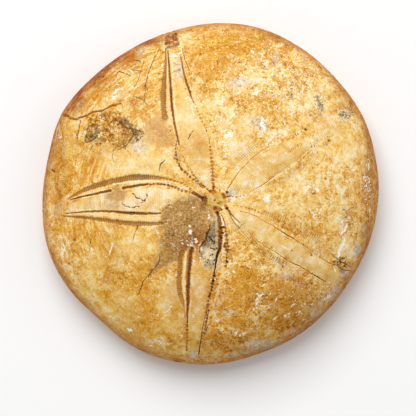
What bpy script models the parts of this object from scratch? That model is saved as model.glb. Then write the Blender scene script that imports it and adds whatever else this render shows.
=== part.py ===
"""A fossil sea urchin: a low, domed sea biscuit turned to stone and polished, lying on its mouth side.

Blender 4.5, metres, +Z up. The origin is at the middle of the base. The front of the animal points
along -X and its rear along +X. The urchin grew as one piece, so it is one closed solid.

The surface is one grid. Its rings run from the apex, over the widest line and round the flank, to the
mouth on the underside. Its columns follow the pore rows of the five petals, so that each row is a
crisp furrow with few faces. Sizes below are in millimetres and degrees.
"""

import math

import bmesh
import bpy

MM = 0.001

# The whole test (the urchin's shell)
HEIGHT = 27.0  # from the resting plane to the apex
WIDEST_AT = 9.5  # height of the widest line above the resting plane
APEX = (1.4, -2.1)  # where the apex is in plan
MOUTH = (-3.6, -0.6)  # where the mouth is in plan, a little forward of the middle
# From the apex out to the widest line, every 15 degrees anticlockwise from +X
RIM_RADII = (
    45.4, 46.3, 47.5, 48.0, 49.0, 49.9, 49.7, 49.0, 48.6, 48.8, 49.5, 48.4,
    48.3, 48.6, 47.8, 46.2, 46.5, 46.2, 45.5, 44.3, 43.9, 43.6, 43.6, 44.4,
)  # fmt: skip
DOME_SHOULDER = 2.2  # a higher value makes a flatter top
DOME_EDGE = 0.52  # a lower value makes a steeper flank
FLAT_FROM = 0.78  # share of the radius at which the flank meets the resting plane
PLATE_SWELL = 0.3  # the areas between the petals stand this proud

# The petals: azimuth of the axis at the apex, how far it swings by the rim (evenly, and as a curl
# that only the tip shows), and the half widths to the inner and outer pore rows where it is widest
PETALS = {
    "right_rear": {"azimuth": 34.5, "swing": -1.5, "curl": 0.0, "inner": 3.9, "outer": 6.4},
    "right_side": {"azimuth": 116.5, "swing": -12.0, "curl": 1.2, "inner": 4.0, "outer": 6.2},
    "front": {"azimuth": 178.4, "swing": 0.0, "curl": 4.5, "inner": 4.0, "outer": 6.5},
    "left_side": {"azimuth": 256.5, "swing": 5.0, "curl": 0.0, "inner": 3.9, "outer": 6.4},
    "left_rear": {"azimuth": 330.0, "swing": -5.0, "curl": 3.5, "inner": 3.1, "outer": 6.0},
}
INNER_WIDEST_AT = 0.38  # shares of the radius at which the pore rows are furthest apart
OUTER_WIDEST_AT = 0.43
PETAL_TAPER = 1.6  # how sharply a petal narrows towards both ends
TIP_CLOSING = 0.35  # how far the outer row closes on the inner one at the rim
INNER_FURROW = {"half_width": 0.45, "share": 0.32, "depth": 0.45}
OUTER_FURROW = {"half_width": 0.80, "share": 0.45, "depth": 0.55}
FURROWS_START = 0.05  # shares of the radius between which the furrows deepen from nothing
FURROWS_FULL = 0.14
PETAL_VAULT = 0.35  # the middle of a petal is arched this high

# The apical disc, at the meeting of the petals
DISC_RADIUS = 2.6
DISC_RISE = 0.35
PETAL_PIT = {"from_apex": 3.1, "radius": 0.9, "depth": 0.7}  # one where each petal starts

# The underside
FURROW_DEPTH = 0.6  # of the furrow along each petal's axis, from the rim to the mouth
FURROW_SPREAD = 0.4  # it is this much wider than the rows are at the rim
CROWDING = 0.42  # rows keep within about this share of their distance from the mouth
VESTIBULE = {"share": 0.42, "depth": 2.6}  # the shallow bowl round the mouth
PHYLLODE = {"at": 0.21, "spread": 0.07, "widen": 1.8, "depth": 0.7}  # sunk leaf by the mouth
BOURRELET = {"at": 0.145, "spread": 0.04, "rise": 1.5}  # cushion between two phyllodes
MOUTH_PIT = {"floor": 0.05, "edge": 0.12, "depth": 2.2}  # floor and edge as shares
VENT = {"place": (35.4, 0.5, 0.0), "azimuth": 1.0, "half_sizes": (3.0, 2.1, 2.4)}

# A small old chip in the widest line, beside the tip of the left rear petal
CHIP = {"place": (40.5, -22.2, 9.0), "azimuth": 332.0, "half_sizes": (0.9, 1.5, 3.4)}

# The grid
RINGS_ON_TOP = (
    0.025, 0.040, 0.054, 0.068, 0.082, 0.098, 0.12, 0.15, 0.19, 0.23, 0.275, 0.32, 0.37, 0.42,
    0.47, 0.52, 0.57, 0.62, 0.67, 0.72, 0.77, 0.82, 0.865, 0.905, 0.94, 0.967, 0.988,
)  # fmt: skip
FLANK_STEPS = 6
RINGS_BELOW = (0.68, 0.57, 0.47, 0.38, 0.31, 0.25, 0.21, 0.175, 0.145, 0.115, 0.09, 0.065, 0.045)
COLUMNS_BETWEEN_PETALS = 8


def smooth_step(low, high, value):
    """0 below low, 1 above high and a smooth rise between them."""
    share = min(1.0, max(0.0, (value - low) / (high - low)))
    return share * share * (3.0 - 2.0 * share)


def bump(distance, radius):
    """1 at no distance, falling smoothly to nothing a few radii away."""
    return math.exp(-((distance / radius) ** 2))


def rim_radius(azimuth):
    """Distance from the apex to the widest line, through RIM_RADII as a closed Catmull-Rom curve."""
    step = 360.0 / len(RIM_RADII)
    place = (azimuth % 360.0) / step
    first = int(place)
    f = place - first
    a, b, c, d = (RIM_RADII[(first + k) % len(RIM_RADII)] for k in (-1, 0, 1, 2))
    return 0.5 * (
        2.0 * b + (c - a) * f + (2.0 * a - 5.0 * b + 4.0 * c - d) * f**2 + (3.0 * (b - c) + d - a) * f**3
    )


def rim_point(azimuth):
    """Plan position of the widest line."""
    radius = rim_radius(azimuth)
    angle = math.radians(azimuth)
    return APEX[0] + radius * math.cos(angle), APEX[1] + radius * math.sin(angle)


def leaf_width(share, widest_at):
    """Width of a petal, as a share of its greatest, at a share of the way from apex to rim."""
    reach = share / widest_at
    return (reach * math.exp(1.0 - reach)) ** PETAL_TAPER


def rows_on_top(petal, share):
    """Distances of the inner and outer pore rows from the petal's axis on the dome."""
    inner = petal["inner"] * leaf_width(share, INNER_WIDEST_AT)
    outer = petal["outer"] * leaf_width(share, OUTER_WIDEST_AT) * (1.0 - TIP_CLOSING * share**6)
    return inner, outer


def rows_below(petal, share):
    """The same distances on the underside: narrow, but wider in the phyllode by the mouth."""
    at_rim = rows_on_top(petal, 1.0)
    widening = PHYLLODE["widen"] * bump(share - PHYLLODE["at"], PHYLLODE["spread"])
    room = CROWDING * share * rim_radius(axis_azimuth(petal, share))
    outer = room * (1.0 - math.exp(-(at_rim[1] + FURROW_SPREAD + widening) / room))
    return outer * at_rim[0] / at_rim[1], outer


def furrow_half_widths(inner, outer):
    """Half widths of the two furrows, which keep clear of each other where the rows run close."""
    gap = outer - inner
    return [min(f["half_width"], f["share"] * gap) for f in (INNER_FURROW, OUTER_FURROW)]


def column_offsets(inner, outer):
    """The columns of half a petal, from its axis outwards: lips, beds and the crest between them."""
    thin, broad = furrow_half_widths(inner, outer)
    crest = 0.5 * (inner + thin + outer - broad)
    return [0.5 * (inner - thin), inner - thin, inner, crest, outer, outer + broad]


def axis_azimuth(petal, share):
    return petal["azimuth"] + petal["swing"] * share + petal["curl"] * share**3


def ring_columns(share, rows):
    """One ring's columns, each as its azimuth and its (petal, offset), or (None, blend) between petals."""
    petals = []
    for petal in PETALS.values():
        inner, outer = rows(petal, share)
        half = column_offsets(inner, outer)
        offsets = [-x for x in reversed(half)] + [0.0] + half
        axis = axis_azimuth(petal, share)
        radius = max(share, 1e-6) * rim_radius(axis)
        petals.append([(axis + math.degrees(x / radius), (petal, x)) for x in offsets])
    columns = []
    for own, following in zip(petals, petals[1:] + petals[:1]):
        columns += own
        start, end = own[-1][0], following[0][0]
        end += 360.0 if end < start else 0.0
        for k in range(1, COLUMNS_BETWEEN_PETALS + 1):
            blend = k / (COLUMNS_BETWEEN_PETALS + 1)
            columns.append((start + (end - start) * blend, (None, blend)))
    return columns


def furrow_relief(offset, inner, outer):
    """Depth of the two furrows at a distance from the petal's axis, as a negative height."""
    thin, broad = furrow_half_widths(inner, outer)
    depth = 0.0
    for furrow, centre, half in ((INNER_FURROW, inner, thin), (OUTER_FURROW, outer, broad)):
        across = abs(abs(offset) - centre) / half
        depth += furrow["depth"] * max(0.0, 1.0 - across)
    return -depth


def dome_height(share):
    """Height of the smooth dome at a share of the way from the apex to the rim."""
    return WIDEST_AT + (HEIGHT - WIDEST_AT) * (1.0 - share**DOME_SHOULDER) ** DOME_EDGE


def apical_relief(x, y):
    """The button at the apex and the pits where the petals start."""
    height = DISC_RISE * bump(math.hypot(x, y), DISC_RADIUS) - DISC_RISE
    for petal in PETALS.values():
        angle = math.radians(petal["azimuth"])
        pit_x = PETAL_PIT["from_apex"] * math.cos(angle)
        pit_y = PETAL_PIT["from_apex"] * math.sin(angle)
        height -= PETAL_PIT["depth"] * bump(math.hypot(x - pit_x, y - pit_y), PETAL_PIT["radius"])
    return height


def top_point(share, azimuth, column):
    """A point of the dome."""
    radius = share * rim_radius(azimuth)
    x = radius * math.cos(math.radians(azimuth))
    y = radius * math.sin(math.radians(azimuth))
    height = dome_height(share) + apical_relief(x, y)
    fade = smooth_step(FURROWS_START, FURROWS_FULL, share)
    petal, place = column
    if petal is None:
        height += PLATE_SWELL * math.sin(math.pi * place) * fade * (1.0 - share**4)
    else:
        inner, outer = rows_on_top(petal, share)
        vault = max(0.0, 1.0 - (place / inner) ** 2) if inner > 0.0 else 0.0
        height += fade * (1.0 - share**8) * PETAL_VAULT * vault
        height += fade * (1.0 - 0.5 * share**4) * furrow_relief(place, inner, outer)
    return APEX[0] + x, APEX[1] + y, height


def flank_point(step, azimuth, column):
    """A point of the rounded lower flank, a quarter ellipse from the widest line to the base."""
    turn = math.pi / 2.0 * step / FLANK_STEPS
    share = FLAT_FROM + (1.0 - FLAT_FROM) * math.cos(turn)
    x, y = below_plan(share, azimuth)
    height = WIDEST_AT * (1.0 - math.sin(turn))
    return x, y, height + furrow_below(share, column) * math.sin(turn)


def below_plan(share, azimuth):
    """Plan position on the underside: a share of the way from the mouth to the widest line."""
    rim_x, rim_y = rim_point(azimuth)
    return MOUTH[0] + share * (rim_x - MOUTH[0]), MOUTH[1] + share * (rim_y - MOUTH[1])


def furrow_below(share, column):
    """Height of the furrow along a petal's axis, which sinks into a broad leaf close to the mouth."""
    petal, offset = column
    if petal is None:
        return 0.0
    edge = column_offsets(*rows_below(petal, share))[-1]
    leaf = PHYLLODE["depth"] * bump(share - PHYLLODE["at"], PHYLLODE["spread"])
    near_mouth = smooth_step(MOUTH_PIT["floor"], PHYLLODE["at"], share)
    across = 0.5 + 0.5 * math.cos(math.pi * offset / edge)
    return (FURROW_DEPTH + leaf) * across * near_mouth


def underside_point(share, azimuth, column):
    """A point of the underside. It lies at 0 where the test rests and rises where it is hollow."""
    petal, place = column
    x, y = below_plan(share, azimuth)
    height = furrow_below(share, column)
    height += VESTIBULE["depth"] * (1.0 - smooth_step(0.0, VESTIBULE["share"], share)) ** 1.5
    height += MOUTH_PIT["depth"] * (1.0 - smooth_step(MOUTH_PIT["floor"], MOUTH_PIT["edge"], share))
    if petal is None:
        swelling = bump(share - BOURRELET["at"], BOURRELET["spread"]) * math.sin(math.pi * place)
        height = max(0.0, height - BOURRELET["rise"] * swelling)
    return x, y, height


def rings():
    """Every ring of the grid from the apex to the mouth, as a list of points in millimetres."""
    made = []
    for share in RINGS_ON_TOP:
        made.append([top_point(share, *c) for c in ring_columns(share, rows_on_top)])
    for step in range(FLANK_STEPS + 1):
        turn = math.pi / 2.0 * step / FLANK_STEPS
        share = FLAT_FROM + (1.0 - FLAT_FROM) * math.cos(turn)
        rows = rows_on_top if step == 0 else rows_below
        made.append([flank_point(step, *c) for c in ring_columns(share, rows)])
    for share in RINGS_BELOW:
        made.append([underside_point(share, *c) for c in ring_columns(share, rows_below)])
    return made


def test_mesh():
    """The closed surface: the rings joined by quads, with a fan at the apex and one in the mouth."""
    mesh = bmesh.new()
    apex_height = dome_height(0.0) + apical_relief(0.0, 0.0)
    mouth_height = VESTIBULE["depth"] + MOUTH_PIT["depth"]
    apex = mesh.verts.new([c * MM for c in (*APEX, apex_height)])
    mouth = mesh.verts.new([c * MM for c in (*MOUTH, mouth_height)])
    grid = [[mesh.verts.new([c * MM for c in point]) for point in ring] for ring in rings()]
    count = len(grid[0])
    for k in range(count):
        following = (k + 1) % count
        mesh.faces.new((apex, grid[0][k], grid[0][following]))
        mesh.faces.new((mouth, grid[-1][following], grid[-1][k]))
        for upper, lower in zip(grid, grid[1:]):
            mesh.faces.new((upper[k], lower[k], lower[following], upper[following]))
    bmesh.ops.triangulate(mesh, faces=mesh.faces[:], quad_method="SHORT_EDGE")
    data = bpy.data.meshes.new("fossil_sea_urchin")
    mesh.to_mesh(data)
    mesh.free()
    data.shade_smooth()
    return data


def stone_material():
    """Polished honey-coloured calcite."""
    material = bpy.data.materials.new("polished_calcite")
    material.use_nodes = True
    shader = material.node_tree.nodes["Principled BSDF"]
    shader.inputs["Base Color"].default_value = (0.66, 0.42, 0.15, 1.0)
    shader.inputs["Roughness"].default_value = 0.32
    shader.inputs["Metallic"].default_value = 0.0
    return material


def hollow(urchin, name, place, azimuth, half_sizes):
    """Cuts an ellipsoid out of the test."""
    bpy.ops.mesh.primitive_uv_sphere_add(segments=16, ring_count=10, radius=1.0)
    cutter = bpy.context.object
    cutter.name = name + "_cutter"
    for vertex in cutter.data.vertices:
        vertex.co = [c * half * MM for c, half in zip(vertex.co, half_sizes)]
    cutter.location = [c * MM for c in place]
    cutter.rotation_euler.z = math.radians(azimuth)
    cutter.hide_render = True
    cutter.display_type = "WIRE"
    cut = urchin.modifiers.new(name, "BOOLEAN")
    cut.operation = "DIFFERENCE"
    cut.object = cutter


def main():
    for leftover in list(bpy.data.objects):
        bpy.data.objects.remove(leftover)
    urchin = bpy.data.objects.new("fossil_sea_urchin", test_mesh())
    bpy.context.scene.collection.objects.link(urchin)
    urchin.data.materials.append(stone_material())
    hollow(urchin, "vent", **VENT)
    hollow(urchin, "chip", **CHIP)


main()
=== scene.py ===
"""The looks of a fossil sea urchin: polished, honey-coloured calcite with brown pore rows and cracks.

One dense mesh stands for the CAD solid. Its smooth form repeats the solid's own formulas. Rows, cracks,
patches and chips are drawn as strokes and outlines; the white of the chips is partly painted glints. Each
is pressed into the mesh, and what a point is part of goes into the mesh's attributes, from which the
stone's shader takes its colours.
Sizes are in millimetres and degrees. Marks on the dome are placed by pixels of the 416 x 416 picture.
"""

import math

import bpy
import numpy as np
from mathutils import Matrix, Vector, noise


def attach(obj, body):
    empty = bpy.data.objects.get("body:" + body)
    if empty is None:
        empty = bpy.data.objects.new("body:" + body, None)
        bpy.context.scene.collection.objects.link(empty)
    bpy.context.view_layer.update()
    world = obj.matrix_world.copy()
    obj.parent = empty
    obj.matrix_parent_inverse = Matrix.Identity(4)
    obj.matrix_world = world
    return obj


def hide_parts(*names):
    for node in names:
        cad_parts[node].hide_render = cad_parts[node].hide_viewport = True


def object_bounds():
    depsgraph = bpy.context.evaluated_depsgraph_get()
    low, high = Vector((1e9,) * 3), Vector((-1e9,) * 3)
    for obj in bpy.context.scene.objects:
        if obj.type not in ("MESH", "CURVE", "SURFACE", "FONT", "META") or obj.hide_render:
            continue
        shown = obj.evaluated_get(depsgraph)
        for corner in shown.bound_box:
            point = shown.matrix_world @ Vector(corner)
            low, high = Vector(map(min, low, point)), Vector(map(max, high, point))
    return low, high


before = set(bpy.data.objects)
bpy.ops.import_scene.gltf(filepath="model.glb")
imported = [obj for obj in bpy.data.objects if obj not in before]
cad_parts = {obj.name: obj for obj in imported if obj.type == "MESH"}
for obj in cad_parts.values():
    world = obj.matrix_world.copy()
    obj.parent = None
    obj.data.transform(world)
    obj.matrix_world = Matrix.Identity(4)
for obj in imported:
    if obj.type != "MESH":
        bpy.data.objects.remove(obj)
CAD_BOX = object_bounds()

WOBBLE_SEED = 7  # without a seed, Blender draws its vector noise anew on every run
noise.seed_set(WOBBLE_SEED)

NODE = "fossil_sea_urchin"
MM = 0.001

# ---- The form, as the CAD solid has it ---------------------------------------------------------
HEIGHT = 27.0
WIDEST_AT = 9.5
APEX = np.array((1.4, -2.1))
MOUTH = np.array((-3.6, -0.6))
# From the apex out to the widest line, every 15 degrees anticlockwise from +X
RIM_RADII = np.array((
    45.4, 46.3, 47.5, 48.0, 49.0, 49.9, 49.7, 49.0, 48.6, 48.8, 49.5, 48.4,
    48.3, 48.6, 47.8, 46.2, 46.5, 46.2, 45.5, 44.3, 43.9, 43.6, 43.6, 44.4,
))  # fmt: skip
DOME_SHOULDER = 2.2
DOME_EDGE = 0.52
FLAT_FROM = 0.78
PLATE_SWELL = 0.3
PETALS = (  # azimuth, swing, curl, half width to the inner rows, half width to the outer rows
    (34.5, -1.5, 0.0, 3.9, 6.4),  # right rear
    (116.5, -12.0, 1.2, 4.0, 6.2),  # right side
    (178.4, 0.0, 4.5, 4.0, 6.5),  # front
    (256.5, 5.0, 0.0, 3.9, 6.4),  # left side
    (330.0, -5.0, 3.5, 3.1, 6.0),  # left rear
)
INNER_WIDEST_AT = 0.38
OUTER_WIDEST_AT = 0.43
PETAL_TAPER = 1.6
PETAL_VAULT = 0.35
PETAL_STARTS = (0.05, 0.14)  # shares of the radius between which a petal rises
DISC_RADIUS = 2.6
DISC_RISE = 0.35
FURROW_DEPTH = 0.6
FURROW_HALF_WIDTH = 2.4
CUSHION_EDGE = 16.0  # degrees from a petal's axis at which the cushions by the mouth rise
VESTIBULE = {"share": 0.42, "depth": 2.6}
PHYLLODE = {"at": 0.21, "spread": 0.07, "widen": 1.8, "depth": 0.7}
BOURRELET = {"at": 0.145, "spread": 0.04, "rise": 1.5}
MOUTH_PIT = {"floor": 0.05, "edge": 0.12, "depth": 2.2}
VENT = {"place": (35.4, 0.5), "half_sizes": (3.0, 2.1), "depth": 2.4}

# ---- The camera --------------------------------------------------------------------------------
PICTURE_PIXELS = 416
PIXEL = 0.2786  # one pixel at the height of the widest line
PICTURE_CENTRE = (-0.56, -4.116)  # the place that the middle of the picture shows
CAMERA_DISTANCE = 400.0
CAMERA_TILT = 2.0  # from straight down
CAMERA_LEAN = -45.0  # the azimuth that it leans towards
SENSOR = 36.0
DOME_ROUNDS = 40  # in which the height of a place that the picture shows settles

# ---- The mesh ----------------------------------------------------------------------------------
SPACING_ON_TOP = 0.58
SPACING_BELOW = 1.0
RING_ASPECT = 0.87  # distance between rings over the spacing along them
REFINE_NEAR = (0.30, 0.04)  # how near to a mark the mesh is made twice, then four times as fine
FIT_GAP = 0.03  # the mesh keeps this far inside the CAD solid's box

# ---- How far the marks are pressed in or stand out, besides the depths given with them ---------
CHIP_DEPTH = 0.10
RUNG_DEPTH = 0.08
RIDGE_HEIGHT = 0.07
SAND_DEPTH = 0.10
WINDOW_DEPTH = 0.12
DISC_HEIGHT = 0.12
SHOULDERS = {"row": 0.3, "bead": 0.1, "band": 0.2, "crack": 0.0, "row_below": 0.1}  # lips, as shares of depth
UNEVENNESS = ((0.16, 0.045, 3.1), (0.05, 0.22, 7.7))  # height, scale and shift of broad noise
ROUGHNESS = (0.018, 0.9, 1.3)  # the same for the finest

# ---- How strokes are drawn ---------------------------------------------------------------------
STROKE_STEP = 0.25  # between the places of a stroke's curve
OUTLINE_STEP = 0.8  # and of a patch's
OUTLINE_REACH = 6.0  # a patch's edge is measured this far out
FAR_OUTSIDE = -9.0  # and beyond that, this is given
PATCH_LIMIT = 3.0  # the measure that the shader gets ends here
WOBBLE_SCALE = 1.1  # bends of an uneven stroke, for each millimetre
WOBBLES = {"row": 0.10, "bead": 0.12, "ridge": 0.1, "crack": 0.28, "chip": 0.3}  # how far they go

# ---- The marks ---------------------------------------------------------------------------------
# Each stroke: its points, its widths at even steps along it, its tone and its depth. Points are in
# pixels and the rest is in millimetres. Several tones are spread along the stroke like the widths.
# Tone of a pore row, bead, crack or spot: 0 orange, 0.5 brown, 1 nearly black, 2 greenish blue.
ROWS = (
    # front petal, inner rows
    (((69, 200), (80, 196.8), (95, 193.5), (110, 190.4)), (0.25, 0.45, 0.6, 0.65), 0.52, 0.36),
    (((122.5, 187.8), (130, 186.8), (138, 185.2), (147, 184.2)), (0.75, 0.7, 0.75, 0.5), 0.56, 0.36),
    (((149, 184.2), (158, 184), (166, 184.8), (174, 186.8)), (0.3, 0.3, 0.25), 0.35, 0.15),
    (((192, 193), (197, 195.6), (202, 198.4)), (0.5, 0.5, 0.6), 0.55, 0.3),
    (((189, 189), (194, 191.8), (199, 194.8), (203, 197.5)), (0.25, 0.35, 0.4), 0.45, 0.2),
    (((64, 213.6), (80, 212.1), (95, 211.2), (112, 211.6), (130, 213), (146, 213.5), (160, 213.5)),
     (0.25, 0.4, 0.5, 0.6, 0.8, 0.7, 0.5), (0.3, 0.4, 0.4, 0.45, 0.65, 0.45, 0.3), 0.38),
    (((128.5, 213), (132.5, 213)), (0.7, 1.0, 0.7), 0.72, 0.45),
    # right side petal (up), inner rows
    (((167.5, 50), (168.5, 62), (169.5, 75), (170.5, 88), (171.2, 100), (172.5, 112), (174, 122),
     (176, 132), (179, 144)), (0.35, 0.5, 0.6, 0.6, 0.6, 0.55, 0.45), (0.3, 0.4, 0.5, 0.6, 0.5, 0.4, 0.3),
     0.35),
    (((180.5, 56), (182, 65), (184.5, 76), (187, 84), (189.5, 91), (191.2, 97)),
     (0.4, 0.5, 0.5, 0.65, 0.4), (0.25, 0.25, 0.4, 0.5, 0.4), 0.22),
    (((182, 47), (184, 56), (187, 64), (190, 71)), (0.25, 0.3, 0.3, 0.2), 0.3, 0.1),
    # left side petal (down), inner rows
    (((191.5, 249), (190, 256), (189, 266), (188, 276), (187.8, 288), (187.8, 300), (187.2, 312),
     (187.2, 323)), (1.0, 1.3, 1.15, 1.05, 0.9, 0.6, 0.3), (0.5, 0.6, 0.6, 0.55, 0.5, 0.2), 0.45),
    (((189.2, 252), (187.8, 262), (186.9, 272), (186.7, 284)), (0.3, 0.5, 0.5, 0.3), 0.1, 0.2),
    (((217.4, 212.5), (218.9, 219), (219.9, 228), (220.3, 236), (220.2, 243), (219.3, 250)),
     (0.5, 0.9, 1.15, 1.2, 1.15, 0.9), (0.5, 0.35, 0.4, 0.5, 0.45, 0.75), 0.4),
    (((219.5, 249.5), (217.2, 255), (215.8, 264), (214.4, 271.5)), (0.8, 0.65, 0.45, 0.3), 0.95, 0.35),
    (((205, 316), (203, 326), (200.5, 342), (198.5, 356)), (0.2, 0.3, 0.35), (0.4, 0.6, 0.7), 0.2),
    (((218.4, 213.4), (220.2, 218.6), (221.4, 224.4)), (0.25, 0.3, 0.3), 0.55, 0.25),
    (((220.4, 212.8), (223.3, 219), (225, 225)), (0.25, 0.25, 0.25), 0.5, 0.2),
    (((209, 311), (206.5, 323), (204, 336)), (0.2, 0.3, 0.2), 0.5, 0.15),
    (((220.5, 232.6), (223.6, 232.6)), (0.4, 0.35), 0.85, 0.3),
    (((220.5, 238.2), (222.4, 238)), (0.3, 0.3), 0.8, 0.2),
    # right rear petal (upper right), inner rows
    (((227, 190), (230.5, 184), (234, 178.7), (238, 173)), (0.25, 0.4, 0.25), 0.2, 0.15),
    (((238, 173), (244, 166), (252, 158), (262, 150), (270, 146)), (0.25, 0.25, 0.2), 0.2, 0.08),
    (((246, 193.6), (253, 190), (262, 185.5)), (0.15, 0.2, 0.25), 0.15, 0.08),
    (((260, 186.2), (267, 181.8), (275.4, 174.6)), (0.15, 0.25, 0.15), 0.5, 0.1),
    (((277, 173.8), (290, 164.4), (303, 153.4), (316, 143)), (0.12, 0.15, 0.12), 0.3, 0.06),
    # left rear petal (lower right), inner rows
    (((240, 211.3), (250, 213.6), (261, 219), (270, 224), (279, 229.3)), (0.25, 0.2, 0.25), 0.15, 0.12),
    (((278, 229.3), (284, 232.8), (289, 236), (294, 238.5)), (0.2, 0.35, 0.25), (0.25, 0.6, 0.4), 0.2),
    (((294, 238.5), (303, 244.6), (312, 251), (321, 257.5), (331, 263.7)), (0.2, 0.25, 0.15, 0.25),
     (0.35, 0.25, 0.4), 0.1),
    (((331, 263.7), (338, 266), (344, 270), (352, 271.5)), (0.2, 0.28, 0.2), (0.35, 0.6, 0.4), 0.18),
    (((319, 244), (327.5, 250.8), (334, 255.5), (343, 262.5), (352, 267.5)), (0.12, 0.18, 0.28, 0.22),
     (0.15, 0.3, 0.5), 0.16),
    (((226.8, 208), (231.2, 213.7), (235, 218.1), (240, 223.1)), (0.6, 0.35, 0.25), (0.55, 0.35), 0.22),
    (((228.2, 211), (233.5, 221.5), (240, 228.7)), (0.2, 0.3, 0.25), 0.42, 0.12),
    (((240, 223), (248, 231.5), (257, 240), (266, 246.6), (276, 252.3), (285, 259)), (0.18, 0.2, 0.25),
     (0.15, 0.35), 0.08),
    (((285, 258.7), (294, 263.7), (301, 266.7), (309, 272)), (0.2, 0.3, 0.2), (0.3, 0.6, 0.4), 0.14),
    (((309, 272), (316, 276.2), (322, 279.6), (328.5, 283)), (0.2, 0.34, 0.16), (0.4, 0.65, 0.5), 0.15),
)
# Rows that are broken up into single pores
BEADS = (
    (((149, 184.3), (160, 184), (172, 186.3), (180, 190), (187, 191.5), (194, 193.5)), (0.5, 0.7, 0.55),
     0.25, 0.22),
    (((158, 178.5), (168, 179), (178, 181.8), (186, 185.5), (191, 189)), (0.5, 0.45, 0.3), 0.25, 0.12),
    (((177, 140), (175, 149), (176.5, 158), (180.5, 167), (188, 175), (196, 182), (203, 188)),
     (0.3, 0.6, 0.4), 0.4, 0.15),
    (((181, 152), (184, 159.5), (189, 168), (194, 175.5), (200, 183), (208, 190.5)), (0.2, 0.35, 0.45),
     0.3, 0.12),
    (((209, 138), (210.5, 150), (212, 165), (212.8, 178), (213.3, 188)), (0.3, 0.8, 0.9), 0.12, 0.12),
    (((214.4, 272), (212.9, 281), (211.4, 289), (208.6, 301), (205.5, 316)), (0.45, 0.6, 0.5, 0.65, 0.5),
     (1.0, 0.95, 0.5, 0.4, 0.5), 0.25),
    (((209.5, 296), (207.5, 308), (206, 320), (203.5, 332), (200.5, 345)), (0.2, 0.4, 0.5, 0.4, 0.2),
     0.3, 0.08),
    (((225.4, 227), (226.2, 236), (227.1, 244), (227.6, 251.5)), (0.45, 0.6, 1.2, 0.9),
     (0.2, 0.4, 0.3, 0.5), 0.18),
    (((226.8, 254), (226.6, 261), (226, 268)), (0.25, 0.4, 0.2), 0.8, 0.1),
    (((191, 97), (196, 106), (200, 117), (205.5, 128), (209, 140)), (0.3, 0.3, 0.25), 0.25, 0.06),
    (((233, 205.5), (242, 206.5), (256, 210.5), (268, 216.5)), (0.2, 0.3, 0.2), 0.2, 0.06),
    (((187, 322), (187, 336), (186, 352)), (0.5, 0.45, 0.3), 0.35, 0.12),
    (((228, 196.2), (236, 196.8), (246, 195)), (0.25, 0.3, 0.25), 0.35, 0.08),
)
# The broad outer rows, which are striped across
BANDS = (
    (((67, 199), (75, 194), (84, 189.5), (92, 186.5), (100, 184), (110, 181), (120, 179.3), (130, 177.6),
     (140, 176.9), (150, 177), (159, 177.5), (168, 178.3)),
     (0.4, 0.9, 1.3, 1.6, 1.6, 1.6, 1.7, 1.75, 1.5, 1.0, 0.4),
     (0.3, 0.4, 0.45, 0.5, 0.35, 0.5, 0.6, 0.65, 0.45, 0.15), 0.16),
    (((62, 216), (72, 216.6), (82, 217.4), (100, 219.6), (112, 221.2), (125, 222.8), (140, 223.6),
     (150, 223.7), (162, 223)), (0.3, 0.7, 0.85, 1.0, 1.15, 1.3, 1.3, 1.1, 0.8),
     (0.45, 0.45, 0.4, 0.45, 0.45, 0.5), 0.22),
    (((165, 48), (165.5, 60), (164.5, 72), (163.5, 84), (163, 95), (163.5, 108), (164, 117)),
     (0.4, 0.6, 1.2, 1.5, 1.65, 1.7, 1.75), (0.3, 0.33, 0.36, 0.42, 0.46, 0.36), 0.16),
    (((181, 252), (179.8, 260), (179.2, 270), (178.6, 280), (179, 290), (181.5, 300), (184.5, 309)),
     (0.8, 1.3, 1.4, 1.4, 1.35, 1.1, 0.6), (0.3, 0.34, 0.36, 0.34, 0.12), 0.2),
    (((184.5, 309), (186, 322), (186.3, 338), (187, 352)), (0.9, 0.7, 0.4), 0.05, 0.04),
)
# Fine netting beside the inner rows; the tone is how strong it is
NETS = (
    (((236, 163), (242, 156), (250, 149), (257, 144)), (1.2, 2.8, 2.6, 1.0), 0.75),
    (((256, 196), (268, 190), (280, 183), (292, 174.5), (304, 165), (316, 155)), (0.8, 1.4, 2.0, 2.4, 2.2),
     0.35),
    (((264, 212), (276, 217), (290, 223.5), (304, 231), (318, 240)), (1.2, 2.8, 3.0, 2.4), 0.7),
    (((237, 226), (246, 237), (256, 246.5), (266, 254), (276, 260), (284, 264)), (1.0, 2.2, 2.6, 2.6, 2.2),
     0.85),
    (((262, 143), (276, 136), (292, 130)), (1.0, 2.0, 1.4), 0.3),
)
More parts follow.
